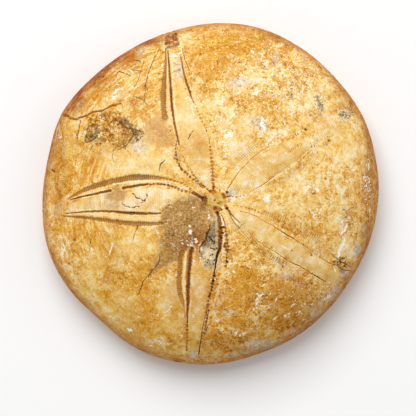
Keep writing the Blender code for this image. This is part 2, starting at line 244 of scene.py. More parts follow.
# Bright ridges, golden of their own, with cream painted highlights along them; tone 0 or less is cream, 1
# golden
RIDGES_AND_HIGHLIGHTS = (
    (((162.8, 36), (163.2, 42), (164, 50)), (0.3, 0.45, 0.35), -0.3),
    (((177.5, 30.5), (179, 36), (180.6, 43), (181.8, 50)), (0.4, 0.6, 0.4), -0.3),
    (((174.8, 33), (176, 38), (177.2, 43)), (0.15, 0.2, 0.15), -0.2),
    (((74, 196.5), (90, 190.8), (110, 186)), (0.3, 0.5, 0.5), 0.6),
    (((113, 184), (130, 182), (150, 181), (166, 181.8)), (0.5, 0.8, 0.8, 0.4), 0.1),
    (((66, 214.9), (90, 214.3), (110, 216), (130, 218.2), (157, 218.8)), (0.2, 0.5, 0.9, 1.4, 1.5), 0.35),
    (((185.8, 252), (184.2, 265), (183.2, 280), (183.8, 295), (185.8, 306)), (0.6, 0.8, 0.8, 0.3), 0.35),
    (((167, 54), (167, 70), (167.2, 90), (168, 110), (171, 124)), (0.3, 0.5, 0.7, 1.0, 0.8), 0.35),
    (((252, 213.8), (262, 218.3), (275, 225.8), (288, 232.6), (300, 240), (312, 248)),
     (0.3, 0.5, 0.6, 0.6, 0.3), 0.9),
    (((256, 215.3), (268, 221.5), (282, 229), (298, 238.2)), (0.15, 0.2, 0.2), 0.0),
    (((320, 243), (328, 249.5), (336, 256)), (0.2, 0.35, 0.2), 0.9),
    (((260, 188), (272.8, 178.9), (290, 167.8), (302.7, 156.7), (312, 148.2)), (0.3, 0.4, 0.3, 0.2), 0.1),
    (((260, 153.3), (272.8, 145.6), (287, 139.6)), (0.2, 0.25, 0.15), 0.1),
    (((222.5, 264), (222.8, 272), (219, 288), (215.5, 300), (212.5, 313)), (0.6, 1.0, 0.8, 0.5, 0.3), 0.45),
    (((223.3, 232), (223.5, 242), (222.8, 256)), (0.6, 0.9, 0.9), 0.2),
    (((296, 239), (303, 243), (311, 248.4)), (0.5, 0.7, 0.5), 0.85),
    (((245, 165), (256, 176)), (0.4, 0.5), 0.1), (((250, 160), (262, 170)), (0.4, 0.4), 0.1),
    (((224.5, 211), (227, 218), (229, 226)), (0.4, 0.5, 0.3), 0.15),
    (((234, 216), (242, 226), (250, 234)), (0.3, 0.35, 0.2), 0.05),
    (((171.5, 58), (173, 75), (174, 95), (176, 115), (179, 132)), (0.8, 0.5, 0.5, 0.6), 0.25),
    (((281, 245), (286, 247.6), (291, 250)), (0.3, 0.45, 0.3), 0.0),
    (((156, 262), (161, 254.5)), (0.2, 0.4, 0.2), 0.5),
    (((347, 269), (351, 270), (355, 271)), (0.5, 0.7, 0.4), 0.9),
    (((152, 277), (161, 270), (170, 265.5)), (0.3, 0.5, 0.4), 1.0),
)
# Short bars across a line: its points, the spacing, length and width of the bars, and their tone.
# A line's number is its random seed, so new ones go at the end.
RUNGS = (
    (((293, 136), (300, 132.6), (308, 128)), 0.62, 0.75, 0.26, 0.66),
    (((268, 144.5), (280, 139.5), (294, 135)), 0.6, 0.6, 0.16, 0.3),
    (((288, 151.5), (295, 147.5), (302, 144)), 0.5, 0.8, 0.18, 0.5),
    (((303, 152.5), (309, 148.8), (316, 145)), 0.9, 0.7, 0.24, 0.66),
    (((320, 147.5), (325, 144.3), (331.5, 139.5)), 0.5, 1.0, 0.26, 0.45),
    (((327, 136.5), (336, 134.5)), 0.8, 0.6, 0.2, 0.6),
    (((270, 186), (285, 176.5), (298, 167.3), (311, 157.5), (320, 152)), 0.5, 1.2, 0.14, 0.3),
    (((296, 240.5), (303, 244.3), (312, 250)), 0.5, 0.6, 0.2, 0.45),
    (((277, 258.5), (287, 264.5)), 0.48, 1.2, 0.2, 0.55),
    (((306, 270.5), (316, 276), (327, 282.5)), 0.7, 0.45, 0.24, 0.6),
    (((227, 215), (233, 225)), 0.5, 0.5, 0.14, 0.4),
)
CRACKS = (
    (((211, 322), (207, 329), (204, 337)), (0.12, 0.28, 0.26), 0.6, 0.08),
    (((208, 340), (214, 343), (219, 344.5), (223.5, 347)), (0.14, 0.22, 0.14), 0.9, 0.05),
    (((61, 113.5), (66, 115.5), (72.5, 118.6), (80, 117), (86, 115), (92, 112), (100, 110.3), (108, 106.5),
     (113, 104.8), (121, 103.3)), (0.85, 0.75, 0.6, 0.3), (0.3, 0.3, 0.35, 0.5), 0.35),
    (((79.5, 119.5), (78.5, 127), (76.6, 134), (76, 141)), (0.35, 0.5, 0.4), 0.35, 0.22),
    (((118, 70.5), (124, 72.5), (130, 75.5)), (0.3, 0.35, 0.3), 0.85, 0.12),
    (((118, 70.5), (115, 76), (112, 81)), (0.2, 0.25, 0.2), 0.6, 0.1),
    (((160, 46), (154, 57), (149, 68), (146, 79), (144.6, 85), (147, 90)), (0.2, 0.3, 0.3), 0.5, 0.12),
    (((132, 59), (138, 60), (140.5, 62)), (0.2, 0.25, 0.2), 0.9, 0.05),
    (((93, 124.2), (87.6, 126.7), (86, 133), (84.7, 140), (86.4, 142.5), (91.3, 140), (97.2, 135.8)),
     (0.25, 0.3, 0.35, 0.4), 2.0, 0.08),
    (((93.8, 118.3), (95.5, 123), (98.2, 125.8), (100.5, 124.5)), (0.2, 0.3, 0.2), 2.0, 0.06),
    (((118.8, 120.8), (123, 125), (127.5, 127.6), (131.5, 128.5), (136, 129.5), (142, 131.6)),
     (0.3, 0.45, 0.45, 0.25), 2.0, 0.1),
    (((131.2, 128.5), (132.6, 132.5), (132.2, 136.7), (128, 141.7), (125.6, 145), (124.7, 148.5)),
     (0.4, 0.5, 0.4, 0.35), 2.0, 0.1),
    (((134.7, 131.7), (136.5, 135.6), (136.2, 142)), (0.3, 0.4, 0.25), 2.0, 0.08),
    (((143, 135.5), (139.7, 138.5), (135.5, 139.8)), (0.25, 0.35, 0.25), 2.0, 0.08),
    (((124.7, 148.5), (121, 146.6), (117, 146.4), (113.5, 150.5), (111.5, 157), (115.5, 165)),
     (0.25, 0.2, 0.1), 1.6, 0.06),
    (((124.7, 148.5), (128.5, 152), (131.5, 157), (137, 159.5)), (0.2, 0.16, 0.12), 0.5, 0.05),
    (((144.6, 90), (144, 99), (147, 105)), (0.2, 0.3, 0.2), 1.6, 0.05),
    (((132, 96), (138, 97), (144, 100)), (0.2, 0.3, 0.2), 1.6, 0.05),
    (((128, 68), (135, 69.5), (142, 71)), (0.18, 0.26, 0.18), 0.8, 0.05),
    (((144, 56), (141, 68), (137, 80), (133, 88)), (0.16, 0.22, 0.14), 1.4, 0.04),
    (((173, 62), (178, 64), (183, 66.5)), (0.14, 0.2, 0.14), 0.8, 0.04),
    (((172, 73), (177, 70), (182, 66)), (0.14, 0.2, 0.14), 0.8, 0.04),
    (((221.5, 309), (226, 311), (230, 314.5)), (0.12, 0.24, 0.1), 0.7, 0.03),
    (((231, 315.8), (235, 316.8), (240, 316.5)), (0.12, 0.26, 0.16), 0.8, 0.03),
    (((164.5, 159.5), (160.5, 164.5), (158.6, 171)), (0.25, 0.4, 0.2), 0.9, 0.12),
    (((194, 130), (190.5, 134.5), (188, 139)), (0.25, 0.35, 0.25), 0.9, 0.1),
    (((132.5, 193), (137, 197.5), (143, 200), (146.5, 198), (147, 193.5)), (0.3, 0.45, 0.3), 0.8, 0.15),
    (((145.5, 200), (141, 202.6)), (0.35, 0.3, 0.3), 0.7, 0.1),
    (((121, 203.2), (126, 206), (131, 207.3), (138.5, 206.3)), (0.2, 0.35, 0.3), 0.85, 0.1),
    (((138, 226), (135.5, 231), (133, 238), (131.5, 246)), (0.35, 0.25, 0.15), 0.6, 0.1),
    (((89.8, 234), (89.8, 242), (88.5, 252)), (0.25, 0.25, 0.2), 0.75, 0.06),
    (((160, 256), (158, 263), (152, 271), (145.5, 278), (142, 283), (140.5, 290), (136.5, 295.5)),
     (0.3, 0.35, 0.25), 0.65, 0.15),
    (((209.8, 248), (213, 248.5), (217.6, 248)), (0.3, 0.6, 0.45), 0.95, 0.06),
    (((211, 223), (208.7, 230), (205.7, 238), (202.6, 243.5), (199.5, 248)), (0.2, 0.5, 0.65, 0.4),
     0.97, 0.1),
    (((199.5, 248), (200.4, 253), (203, 258.5), (206.4, 260.7)), (0.3, 0.25, 0.15), 0.97, 0.05),
    (((208.1, 236.4), (211, 239.5), (214.5, 243.3)), (0.35, 0.35, 0.25), 0.97, 0.05),
    (((206, 238.5), (207.6, 241.5), (209.5, 243)), (0.35, 0.3, 0.15), 0.95, 0.04),
    (((221.2, 227.8), (223.9, 226.8)), (0.7, 0.8, 0.7), 1.1, 0.5),
)
# Small pits and spots: x, y, radius, tone, depth
SPOTS = (
    (213.2, 191.6, 0.75, 0.12, 0.55), (210.3, 191.2, 0.45, 0.45, 0.45), (215.4, 192.3, 0.35, 0.4, 0.3),
    (213.8, 186.4, 0.28, 0.8, 0.2), (213.5, 188.5, 0.22, 0.6, 0.1), (212.7, 180.5, 0.3, 0.15, 0.1),
    (213.4, 184, 0.28, 0.2, 0.1), (223.4, 194.6, 0.5, 0.3, 0.4), (224.6, 197, 0.5, 0.35, 0.4),
    (227, 192.3, 0.4, 0.8, 0.3), (227.5, 196.4, 0.3, 0.85, 0.3), (230, 196.2, 0.3, 0.7, 0.2),
    (225.6, 206, 0.5, 0.1, 0.4), (226.8, 208.2, 0.5, 0.6, 0.5), (217.2, 212.3, 0.62, 0.6, 0.6),
    (215.6, 208.5, 0.62, 0.35, 0.45), (204, 198.4, 0.8, 0.55, 0.6), (206.3, 200.8, 0.35, 0.5, 0.4),
    (219.6, 208.7, 0.4, 0.25, 0.25), (221.5, 209.8, 0.35, 0.5, 0.25), (218.5, 203.2, 0.33, 0.35, 0.3),
    (220.8, 201.6, 0.22, 0.25, 0.15), (229.4, 201.3, 0.3, 0.1, 0.15), (215, 200, 0.3, 0.4, 0.2),
    (219.8, 190, 0.25, 0.2, 0.15), (203.4, 185.3, 0.24, 0.55, 0.15), (205.2, 186.5, 0.2, 0.4, 0.1),
    (201.3, 183.3, 0.2, 0.4, 0.1), (196.5, 178, 0.2, 0.35, 0.1), (207.5, 188.8, 0.25, 0.4, 0.15),
    (222.6, 232.8, 0.35, 0.75, 0.25), (221, 238, 0.4, 0.6, 0.25), (291.8, 250.6, 0.3, 0.15, 0.1),
    (174.5, 158, 0.25, 0.6, 0.1), (176.5, 161.5, 0.22, 0.7, 0.1), (178.5, 164.5, 0.25, 0.8, 0.1),
    (180.6, 167.8, 0.3, 0.8, 0.12), (179.5, 160, 0.2, 0.4, 0.1), (183.5, 161.5, 0.25, 0.25, 0.1),
    (186.5, 165.8, 0.22, 0.3, 0.1), (188, 170, 0.2, 0.3, 0.1), (192, 174.5, 0.22, 0.2, 0.1),
    (195, 178.5, 0.2, 0.3, 0.1), (193.5, 180, 0.2, 0.8, 0.1), (189, 176.5, 0.2, 0.3, 0.1),
    (306, 129.2, 0.35, 0.6, 0.12), (329.5, 140, 0.35, 0.45, 0.12), (326, 178.5, 0.35, 0.2, 0.08),
    (97, 76, 0.25, 0.5, 0.15), (102.5, 76, 0.3, 0.5, 0.15), (96, 143.5, 0.4, 0.2, 0.1),
    (100, 143.5, 0.3, 0.9, 0.1), (144.5, 85, 0.3, 0.5, 0.1), (190, 91, 0.35, 0.45, 0.1),
    (208.5, 311, 0.3, 0.7, 0.1), (209, 297, 0.4, 0.55, 0.15), (214.3, 276, 0.32, 1.0, 0.2),
    (269, 310.5, 0.4, 0.2, 0.1), (272.5, 299.5, 0.4, 0.4, 0.1), (343.3, 259.2, 0.4, 0.5, 0.2),
    (335.4, 262, 0.35, 0.4, 0.2), (312, 255, 0.4, 0.25, 0.1), (341.5, 263.2, 0.3, 0.6, 0.1),
    (338.5, 265, 0.3, 0.5, 0.15), (320.8, 257.6, 0.25, 0.3, 0.1), (340.5, 262, 0.3, 0.6, 0.15),
    (345.5, 258.5, 0.25, 0.6, 0.1), (225.5, 244, 0.5, 0.35, 0.15), (226.5, 250, 0.45, 0.4, 0.15),
    (224.5, 246.5, 0.4, 0.35, 0.12), (227, 258, 0.25, 0.8, 0.1), (227.5, 262, 0.25, 0.7, 0.1),
    (225.3, 266.5, 0.3, 0.45, 0.1), (73.5, 240, 0.3, 0.6, 0.1), (51, 169.5, 0.35, 0.6, 0.12),
    (53, 171, 0.3, 0.6, 0.12), (121, 119.5, 0.3, 2.0, 0.1), (124.8, 119.2, 0.45, 2.0, 0.1),
    (128, 123.6, 0.35, 2.0, 0.1), (131, 125.4, 0.3, 2.0, 0.1), (126, 122, 0.3, 2.0, 0.1),
    (134.3, 134.5, 0.3, 2.0, 0.1), (134.6, 137.8, 0.3, 2.0, 0.1), (90.5, 133.7, 0.22, 2.0, 0.1),
    (91.8, 136, 0.22, 2.0, 0.1), (94.7, 135.4, 0.3, 2.0, 0.1), (210, 255.3, 0.22, 0.95, 0.05),
    (212.5, 254.4, 0.25, 0.95, 0.05), (214.7, 260.3, 0.3, 0.95, 0.05), (207.5, 262.8, 0.25, 0.95, 0.05),
    (205.3, 265.6, 0.5, 2.0, 0.05), (208, 260.3, 0.2, 0.9, 0.05), (210.6, 267.8, 0.3, 2.0, 0.05),
    (213.5, 264, 0.25, 0.95, 0.05), (214.4, 275.6, 0.3, 1.0, 0.1), (212.8, 281.2, 0.35, 1.0, 0.1),
    (226.2, 260.6, 0.25, 1.0, 0.1), (227.8, 262.5, 0.25, 0.9, 0.1), (225.3, 266.2, 0.25, 0.5, 0.1),
    (221.6, 229, 0.3, 0.35, 0.1), (221.3, 243.6, 0.3, 0.5, 0.1), (217.5, 210, 0.8, 0.2, 0.3),
    (318, 96, 0.5, 2.0, 0.0), (319, 99, 0.4, 2.0, 0.0), (321.5, 106, 0.45, 2.0, 0.0),
    (320, 102.5, 0.4, 2.0, 0.0), (323, 109.5, 0.55, 2.0, 0.0), (321.5, 93, 0.3, 2.0, 0.0),
    (292.5, 97, 0.35, 2.0, 0.0), (295.5, 98, 0.3, 2.0, 0.0), (292, 88, 0.25, 2.0, 0.0),
    (337, 109.5, 0.35, 2.0, 0.0), (342.5, 114, 0.35, 2.0, 0.0), (350, 115, 0.35, 2.0, 0.0),
    (346, 117.5, 0.3, 2.0, 0.0), (311, 114.5, 0.35, 2.0, 0.0), (296.3, 76.5, 0.3, 2.0, 0.0),
    (326, 84.5, 0.25, 2.0, 0.0),
)
# White chips and streaks, partly painted glints of the lamps: their widths at the start, the middle and the
# end, and the points of each
CHIPS_AND_GLINTS = (
    ((0.3, 0.45, 0.3), (
        ((128.5, 68), (132, 71.5)), ((181.3, 242.3), (183, 244)), ((209, 217.5), (208.3, 219.8)),
        ((192, 207.5), (194, 208)), ((286, 152), (287, 154)), ((254, 204.3), (257, 202)),
        ((262.5, 287), (265, 284.5)), ((75.5, 165.5), (76.5, 167.5)), ((90, 248.5), (92.5, 249.5)),
        ((281.5, 245.5), (286, 248), (290, 250)),
    )),
    ((0.2, 0.35, 0.2), (
        ((160, 205), (160.6, 207.5)), ((227, 55), (229, 58.5)), ((274, 66), (276, 68)),
        ((192, 110), (193.5, 115)), ((210, 280), (216, 280)), ((283, 42), (281, 46)),
        ((224.5, 156), (228, 157.5)), ((268, 60), (266, 63)),
    )),
    ((0.3, 0.5, 0.3), (
        ((169, 205.3), (171.3, 207.5)), ((303, 90), (304.3, 93.5)), ((284.5, 122), (286, 124)),
        ((279.5, 128.5), (281, 129.5)), ((334.5, 268), (337, 271)), ((257, 293), (261, 297)),
        ((190, 105), (192.5, 110)),
    )),
    ((0.2, 0.4, 0.2), (
        ((214.5, 52), (216, 54)), ((306, 103), (307, 109)), ((193, 317), (194.3, 313)),
        ((122, 263), (123.5, 265)), ((222.5, 148), (225, 152)),
    )),
    ((0.3, 0.6, 0.3), (
        ((261, 52), (263, 56)), ((233, 269.5), (235.5, 272.5)), ((184.5, 98.5), (188.5, 95)),
        ((161, 65.5), (163.5, 63)),
    )),
    ((0.3, 0.45, 0.2), (
        ((281, 68), (288, 69)), ((250, 183.5), (252, 186)), ((69.5, 219), (70.5, 221.5)),
    )),
    ((0.2, 0.3, 0.2), (
        ((167, 312.5), (172, 305.5)), ((159, 100), (161, 104)), ((185, 226), (186, 226.5)),
    )),
    ((0.3, 0.4, 0.3), (
        ((187, 244), (188, 245.3)), ((321.5, 208.5), (320, 213.5), (321, 218)),
    )),
    ((0.3, 0.4, 0.2), (
        ((269, 90), (274, 91.5)), ((58, 122), (55, 132), (52.5, 142)),
    )),
    ((0.5, 0.8, 0.6), (
        ((169.5, 55.5), (176, 54.5), (181, 50.5)),
    )),
    ((0.5, 0.8, 0.4), (
        ((112, 98), (116, 95.5)),
    )),
    ((0.4, 0.8, 0.4), (
        ((114, 91), (119, 88)),
    )),
    ((0.3, 0.45, 0.35), (
        ((111.5, 243), (110.5, 249), (108.5, 256)),
    )),
    ((0.5, 0.7, 0.5), (
        ((189, 225.3), (190.3, 226.7)),
    )),
    ((0.7, 1.1, 0.9), (
        ((189.3, 230), (190.3, 233)),
    )),
    ((0.3, 0.35, 0.3), (
        ((189.8, 244.2), (190.3, 245)),
    )),
    ((0.3, 0.5, 0.35), (
        ((195, 239), (197, 242.3)),
    )),
    ((0.4, 0.55, 0.4), (
        ((209.2, 215.5), (210.4, 217.5)),
    )),
    ((0.25, 0.4, 0.2), (
        ((201, 247.5), (204, 251.5)),
    )),
    ((0.4, 0.5, 0.3), (
        ((193, 259.5), (195, 262)),
    )),
    ((0.25, 0.45, 0.25), (
        ((184.5, 260.5), (185.7, 263.5)),
    )),
    ((0.3, 0.5, 0.6), (
        ((219.9, 215), (221.4, 219), (222.8, 225)),
    )),
    ((0.25, 0.5, 0.3), (
        ((234, 219.5), (237.5, 223.5)),
    )),
    ((0.3, 0.6, 0.4), (
        ((253, 95), (257, 92), (261, 90)),
    )),
    ((0.7, 1.1, 0.7), (
        ((227.5, 136), (231.5, 133)),
    )),
    ((0.4, 0.7, 0.5), (
        ((229.5, 130), (232, 137)),
    )),
    ((0.5, 0.75, 0.3), (
        ((262.3, 117), (261, 121.5)),
    )),
    ((0.5, 0.9, 0.5), (
        ((265, 126), (264, 131)),
    )),
    ((0.4, 0.75, 0.5), (
        ((251, 49.5), (253.5, 52.5)),
    )),
    ((0.2, 0.45, 0.3), (
        ((264, 62), (268, 67)),
    )),
    ((0.2, 0.35, 0.3), (
        ((298.5, 94), (300, 100)),
    )),
    ((0.25, 0.4, 0.25), (
        ((287, 171), (288.5, 172.5)),
    )),
    ((0.3, 0.6, 0.5), (
        ((263, 199.5), (270.5, 194.5)),
    )),
    ((0.2, 0.4, 0.4), (
        ((309, 208), (312, 212.5), (315.5, 218)),
    )),
    ((0.4, 0.7, 0.4), (
        ((348, 224), (346, 229.5), (342, 233.5)),
    )),
    ((0.5, 1.0, 0.5), (
        ((346, 238), (343.4, 245), (340.4, 250.5), (338.8, 257.5)),
    )),
    ((0.25, 0.35, 0.25), (
        ((253, 311.5), (256.5, 304), (259, 300)),
    )),
    ((0.5, 0.9, 0.6), (
        ((127.5, 328.5), (130.5, 331)),
    )),
    ((0.2, 0.4, 0.3), (
        ((61, 241), (64, 250), (67, 258)),
    )),
)
# Clusters of white scratches, partly painted glints of the lamps: centre and half sizes in pixels, how many,
# their length and their lean.
# A cluster's number is its random seed, so new ones go at the end.
FLAKES_AND_GLINTS = (
    ((292, 296), (36, 22), 22, 1.2, 45), ((370, 166), (2, 9), 12, 0.8, 70),
    ((368, 190), (4, 13), 26, 0.8, 50), ((371, 212), (2, 9), 10, 0.8, 80),
    ((308, 187), (4, 1.5), 6, 1.9, 28), ((317, 191), (4, 2), 6, 1.6, -35),
    ((267, 198), (3.5, 2), 6, 1.3, 35), ((316, 213), (4, 4), 5, 1.0, 115), ((346, 228), (2, 3), 6, 0.8, 70),
    ((262, 295), (4, 4), 9, 1.1, 55), ((240, 334), (5, 3), 12, 0.9, 48), ((327, 298), (6, 5), 20, 0.55, 35),
    ((62, 252), (2.5, 9), 16, 0.7, -65), ((189, 241), (8, 4), 9, 0.5, 60),
    ((155, 344), (13, 9), 24, 0.7, -32), ((57, 134), (2.5, 10), 14, 0.8, 68),
    ((116, 66), (12, 7), 16, 0.6, 35), ((122, 90), (10, 8), 22, 0.8, 35), ((128, 74), (8, 5), 10, 0.7, 35),
    ((110, 96), (8, 5), 10, 0.8, 35), ((250, 60), (32, 16), 26, 0.5, 20),
    ((280, 110), (34, 16), 22, 0.5, 50), ((300, 300), (24, 14), 14, 0.7, 20),
    ((263, 124), (4, 6), 14, 1.3, 75), ((228, 135), (4, 4), 10, 1.0, 40), ((238, 82), (6, 5), 6, 0.6, 30),
    ((228, 134), (3, 2.5), 6, 1.0, 40), ((345, 244), (3, 5), 8, 0.8, 70),
    ((215, 120), (10, 14), 12, 0.5, 60), ((203, 262), (6, 8), 5, 0.5, 60),
    ((152, 300), (8, 20), 8, 0.5, 40), ((300, 268), (26, 10), 12, 0.5, 30),
)
# Closed outlines of patches that differ from the calcite round them
MATRIX = (
    ((166, 207), (174, 202.5), (184, 199.5), (194, 198.5), (203, 199.5), (207, 205), (214.5, 207.5),
     (216.5, 212), (213, 219), (210, 227), (206.5, 236), (201, 244), (196, 248.5), (190, 250.5),
     (186, 254), (181, 258), (176, 262.5), (168, 266.5), (160, 270.5), (153, 275.5), (148, 280),
     (147, 276), (152, 268), (157, 260), (160, 251), (160.5, 243), (162, 236), (160, 228), (159.5, 219),
     (161, 212)),
)
WINDOWS = (
    ((217.6, 213.5), (218.6, 222), (219, 232), (218.4, 243), (217, 254), (215.5, 265), (214, 271),
     (208.5, 270), (203.5, 267.5), (200.5, 261), (198.5, 253), (200, 246.5), (203.8, 241), (206, 236),
     (209, 228), (212, 220), (215, 215)),
)
SANDY = (
    ((143.5, 124), (151, 119), (158, 116.5), (166.5, 118), (168, 130), (171, 141), (165, 147),
     (155, 144.5), (147, 141.5), (142.5, 133)),
    ((109, 188), (116, 190.5), (123.5, 188), (126.5, 194), (122, 200.5), (114, 199.5), (110, 194.5)),
    ((173, 158), (176, 152), (181, 155), (179, 162)),
)
TIP = (
    ((164, 35), (164.3, 34.8), (176, 30.9), (176.5, 31), (179.2, 44.6), (178.8, 45), (166.5, 49),
     (165.8, 48.6)),
)
GLASS = (  # the smooth translucent middles of the petals
    ((68, 206), (80, 200.5), (100, 195), (120, 190.5), (146, 187), (163, 187.5), (182, 192.5), (198, 199),
     (182, 199), (168, 203), (161, 210), (140, 210.5), (110, 209), (85, 209.5), (68, 211)),
    ((171, 56), (178, 56), (181.5, 66), (186, 84), (190, 97), (197, 110), (204, 124), (208, 138),
     (210.5, 160), (212, 180), (203, 182), (192, 172), (184, 158), (179.5, 143), (175, 122), (172.5, 100),
     (170.5, 76)),
    ((196, 254), (212, 256), (212.5, 272), (209, 292), (205, 312), (200, 338), (196, 354), (189, 354),
     (189.5, 325), (190, 298), (190.5, 278), (192, 262)),
    ((236, 207), (250, 216.5), (270, 227), (290, 238), (310, 252), (328, 264.5), (341, 274), (335, 285),
     (320, 277), (300, 265), (282, 253.5), (262, 240), (247, 227), (236, 214)),
    ((231, 190), (240, 173), (252, 161), (268, 149), (285, 141), (300, 136), (310, 142), (303, 154),
     (288, 168), (270, 179), (250, 189)),
)
RUST = (
    ((92, 116), (104, 111.5), (118, 112), (127, 118.5), (138, 127.5), (139, 134), (132, 142), (124, 148),
     (112, 147), (100, 141), (89, 142), (85, 134), (87, 124)),
)
DISC = (
    ((207, 201), (205.8, 196.5), (208.5, 193.5), (213, 194.8), (217.5, 192.5), (221, 191), (222.3, 195.5),
     (224.5, 199), (229, 201), (227, 204), (223, 205), (221, 208), (217, 206.5), (212, 206.8), (208, 207),
     (206.3, 204)),
)
# Broad soft stains: x, y, half size along x, half size along y (all in pixels), strength
PALE = (
    (138, 172, 14, 9, 0.4), (72, 222, 18, 9, 0.2), (138, 274, 12, 10, 0.15), (246, 152, 18, 22, 0.9),
    (322, 106, 16, 22, 0.65), (246, 218, 20, 13, 0.9), (148, 160, 18, 12, 0.8), (114, 160, 14, 12, 0.8),
    (330, 134, 20, 20, 0.6), (304, 176, 26, 16, 0.6), (138, 168, 16, 9, 0.8), (200, 172, 12, 12, 0.2),
    (240, 124, 26, 16, 0.35), (126, 201, 40, 7, 0.7), (148, 200, 20, 9, 0.8), (180, 305, 13, 36, 0.4),
    (140, 150, 22, 14, 0.9), (128, 162, 18, 9, 0.6), (212, 106, 14, 14, 0.35), (116, 92, 11, 7, 0.7),
    (198, 282, 8, 24, 0.4), (250, 190, 26, 14, 0.5), (232, 214, 12, 8, 0.7), (205, 190, 20, 8, 0.2),
    (100, 208, 34, 6, 0.6), (72, 122, 9, 12, 0.5), (188, 42, 10, 8, 0.7), (340, 150, 24, 20, 0.4),
    (300, 205, 24, 14, 0.5), (192, 122, 12, 20, 0.6), (138, 75, 16, 16, 0.3), (300, 262, 24, 10, 0.4),
    (290, 122, 18, 22, 0.45), (140, 246, 18, 12, 0.8), (168, 296, 8, 22, 0.8), (330, 222, 14, 14, 0.4),
    (300, 240, 30, 20, 0.3), (264, 78, 18, 14, 0.5), (116, 320, 16, 24, 0.4), (120, 228, 20, 8, 0.3),
    (296, 88, 18, 14, 0.35), (330, 160, 20, 12, 0.4), (207, 257, 10, 10, 0.9), (166, 252, 8, 12, 0.3),
    (300, 250, 30, 14, 0.4), (346, 248, 12, 12, 0.9), (138, 146, 16, 12, 0.6), (346, 196, 12, 12, 0.7),
    (150, 168, 22, 9, 0.6), (242, 224, 10, 8, 0.6), (244, 94, 12, 10, 0.5), (320, 94, 12, 10, 0.5),
    (244, 222, 12, 10, 0.5), (164, 168, 18, 12, 0.5),
)
ORANGE = (
    (268, 66, 12, 8, 0.3), (162, 250, 12, 10, 0.2), (190, 170, 10, 10, 0.25), (252, 248, 18, 10, 0.4),
    (320, 272, 12, 7, 0.3), (188, 300, 10, 20, 0.3), (150, 250, 22, 10, 0.4), (178, 92, 20, 12, 0.3),
    (204, 118, 20, 12, 0.3), (320, 222, 14, 10, 0.4), (320, 170, 12, 12, 0.3), (112, 223, 18, 8, 0.4),
    (165, 92, 7, 14, 0.5), (163, 142, 8, 9, 0.5), (316, 246, 14, 6, 0.3), (236, 44, 40, 18, 0.9),
    (212, 66, 22, 18, 0.8), (262, 100, 24, 10, 0.9), (288, 70, 22, 16, 0.4), (86, 172, 18, 14, 0.7),
    (80, 228, 22, 12, 0.35), (143, 290, 12, 24, 1.0), (134, 268, 12, 7, 0.3), (160, 272, 12, 8, 0.6),
    (152, 312, 12, 16, 0.5), (150, 262, 10, 10, 0.2), (124, 60, 22, 14, 0.6), (150, 90, 16, 24, 0.5),
    (298, 234, 20, 9, 0.5), (246, 285, 20, 20, 0.8), (258, 262, 12, 8, 0.3), (292, 292, 24, 12, 0.5),
    (234, 312, 14, 16, 0.8), (345, 165, 14, 14, 0.2), (270, 118, 14, 10, 0.4), (212, 340, 14, 8, 0.7),
    (198, 274, 7, 8, 0.5), (262, 178, 12, 6, 0.6), (300, 110, 20, 10, 0.3), (280, 320, 24, 12, 0.5),
    (345, 245, 10, 14, 0.2), (101, 100, 12, 8, 0.4), (280, 222, 16, 8, 0.4), (60, 170, 8, 16, 0.4),
    (322, 158, 8, 6, 0.4), (240, 98, 18, 6, 0.6), (184, 345, 14, 12, 0.4), (158, 140, 14, 16, 0.4),
    (84, 238, 26, 12, 0.6), (164, 276, 10, 8, 0.5), (205, 279, 6, 7, 0.7), (120, 274, 20, 14, 0.2),
)
# Brown stains; the thin ones along the edge are painted shade there
UMBER_AND_SHADE = (
    (268, 222, 12, 9, 0.2), (320, 118, 12, 10, 0.3), (178, 144, 22, 12, 0.2), (346, 274, 8, 8, 0.4),
    (216, 302, 10, 14, 0.4), (192, 252, 9, 8, 0.85), (60, 144, 7, 12, 0.4), (112, 92, 12, 10, 0.3),
    (196, 240, 12, 10, 1.0), (186, 250, 9, 8, 0.8), (367, 186, 6, 30, 0.7), (204, 202, 6, 7, 0.8),
    (96, 76, 15, 11, 0.9), (78, 94, 10, 12, 0.8), (122, 56, 18, 7, 0.8), (150, 40, 18, 5, 0.6),
    (58, 197, 8, 14, 0.85), (216, 198, 7, 7, 0.35), (345, 262, 9, 22, 0.15), (212, 290, 12, 30, 0.4),
    (294, 276, 18, 10, 0.35), (70, 110, 8, 8, 0.4), (172, 244, 12, 12, 0.25), (108, 116, 14, 5, 0.6),
    (190, 296, 14, 34, 0.3), (214, 268, 8, 24, 0.25),
)
# Greenish brown stains; the thin ones along the edge and the broad ones at the lower right and bottom are
# painted shade
OLIVE_AND_SHADE = (
    (214, 246, 7, 14, 0.8), (348, 220, 9, 10, 0.7), (320, 249, 12, 7, 0.3), (178, 300, 20, 24, 0.5),
    (226, 250, 8, 14, 0.4), (112, 146, 16, 8, 0.4), (74, 96, 12, 24, 0.8), (104, 64, 26, 9, 0.8),
    (142, 42, 24, 6, 0.8), (53, 130, 7, 30, 0.8), (371, 170, 5, 60, 1.0), (366, 240, 8, 24, 0.7),
    (280, 38, 30, 6, 0.5), (345, 96, 10, 20, 0.5), (56, 160, 15, 34, 0.6), (92, 140, 18, 16, 0.5),
    (290, 314, 44, 28, 0.95), (300, 296, 20, 12, 0.5), (232, 345, 52, 16, 0.8), (90, 84, 22, 12, 0.6),
    (132, 103, 12, 7, 0.6), (340, 290, 20, 20, 0.5), (155, 335, 30, 12, 0.35), (200, 152, 9, 16, 0.5),
    (275, 165, 30, 18, 0.3), (290, 220, 32, 16, 0.15), (310, 245, 28, 20, 0.3), (112, 262, 10, 30, 0.5),
    (74, 108, 10, 7, 0.5), (262, 276, 30, 24, 0.15), (332, 190, 30, 24, 0.2), (128, 320, 14, 24, 0.3),
)
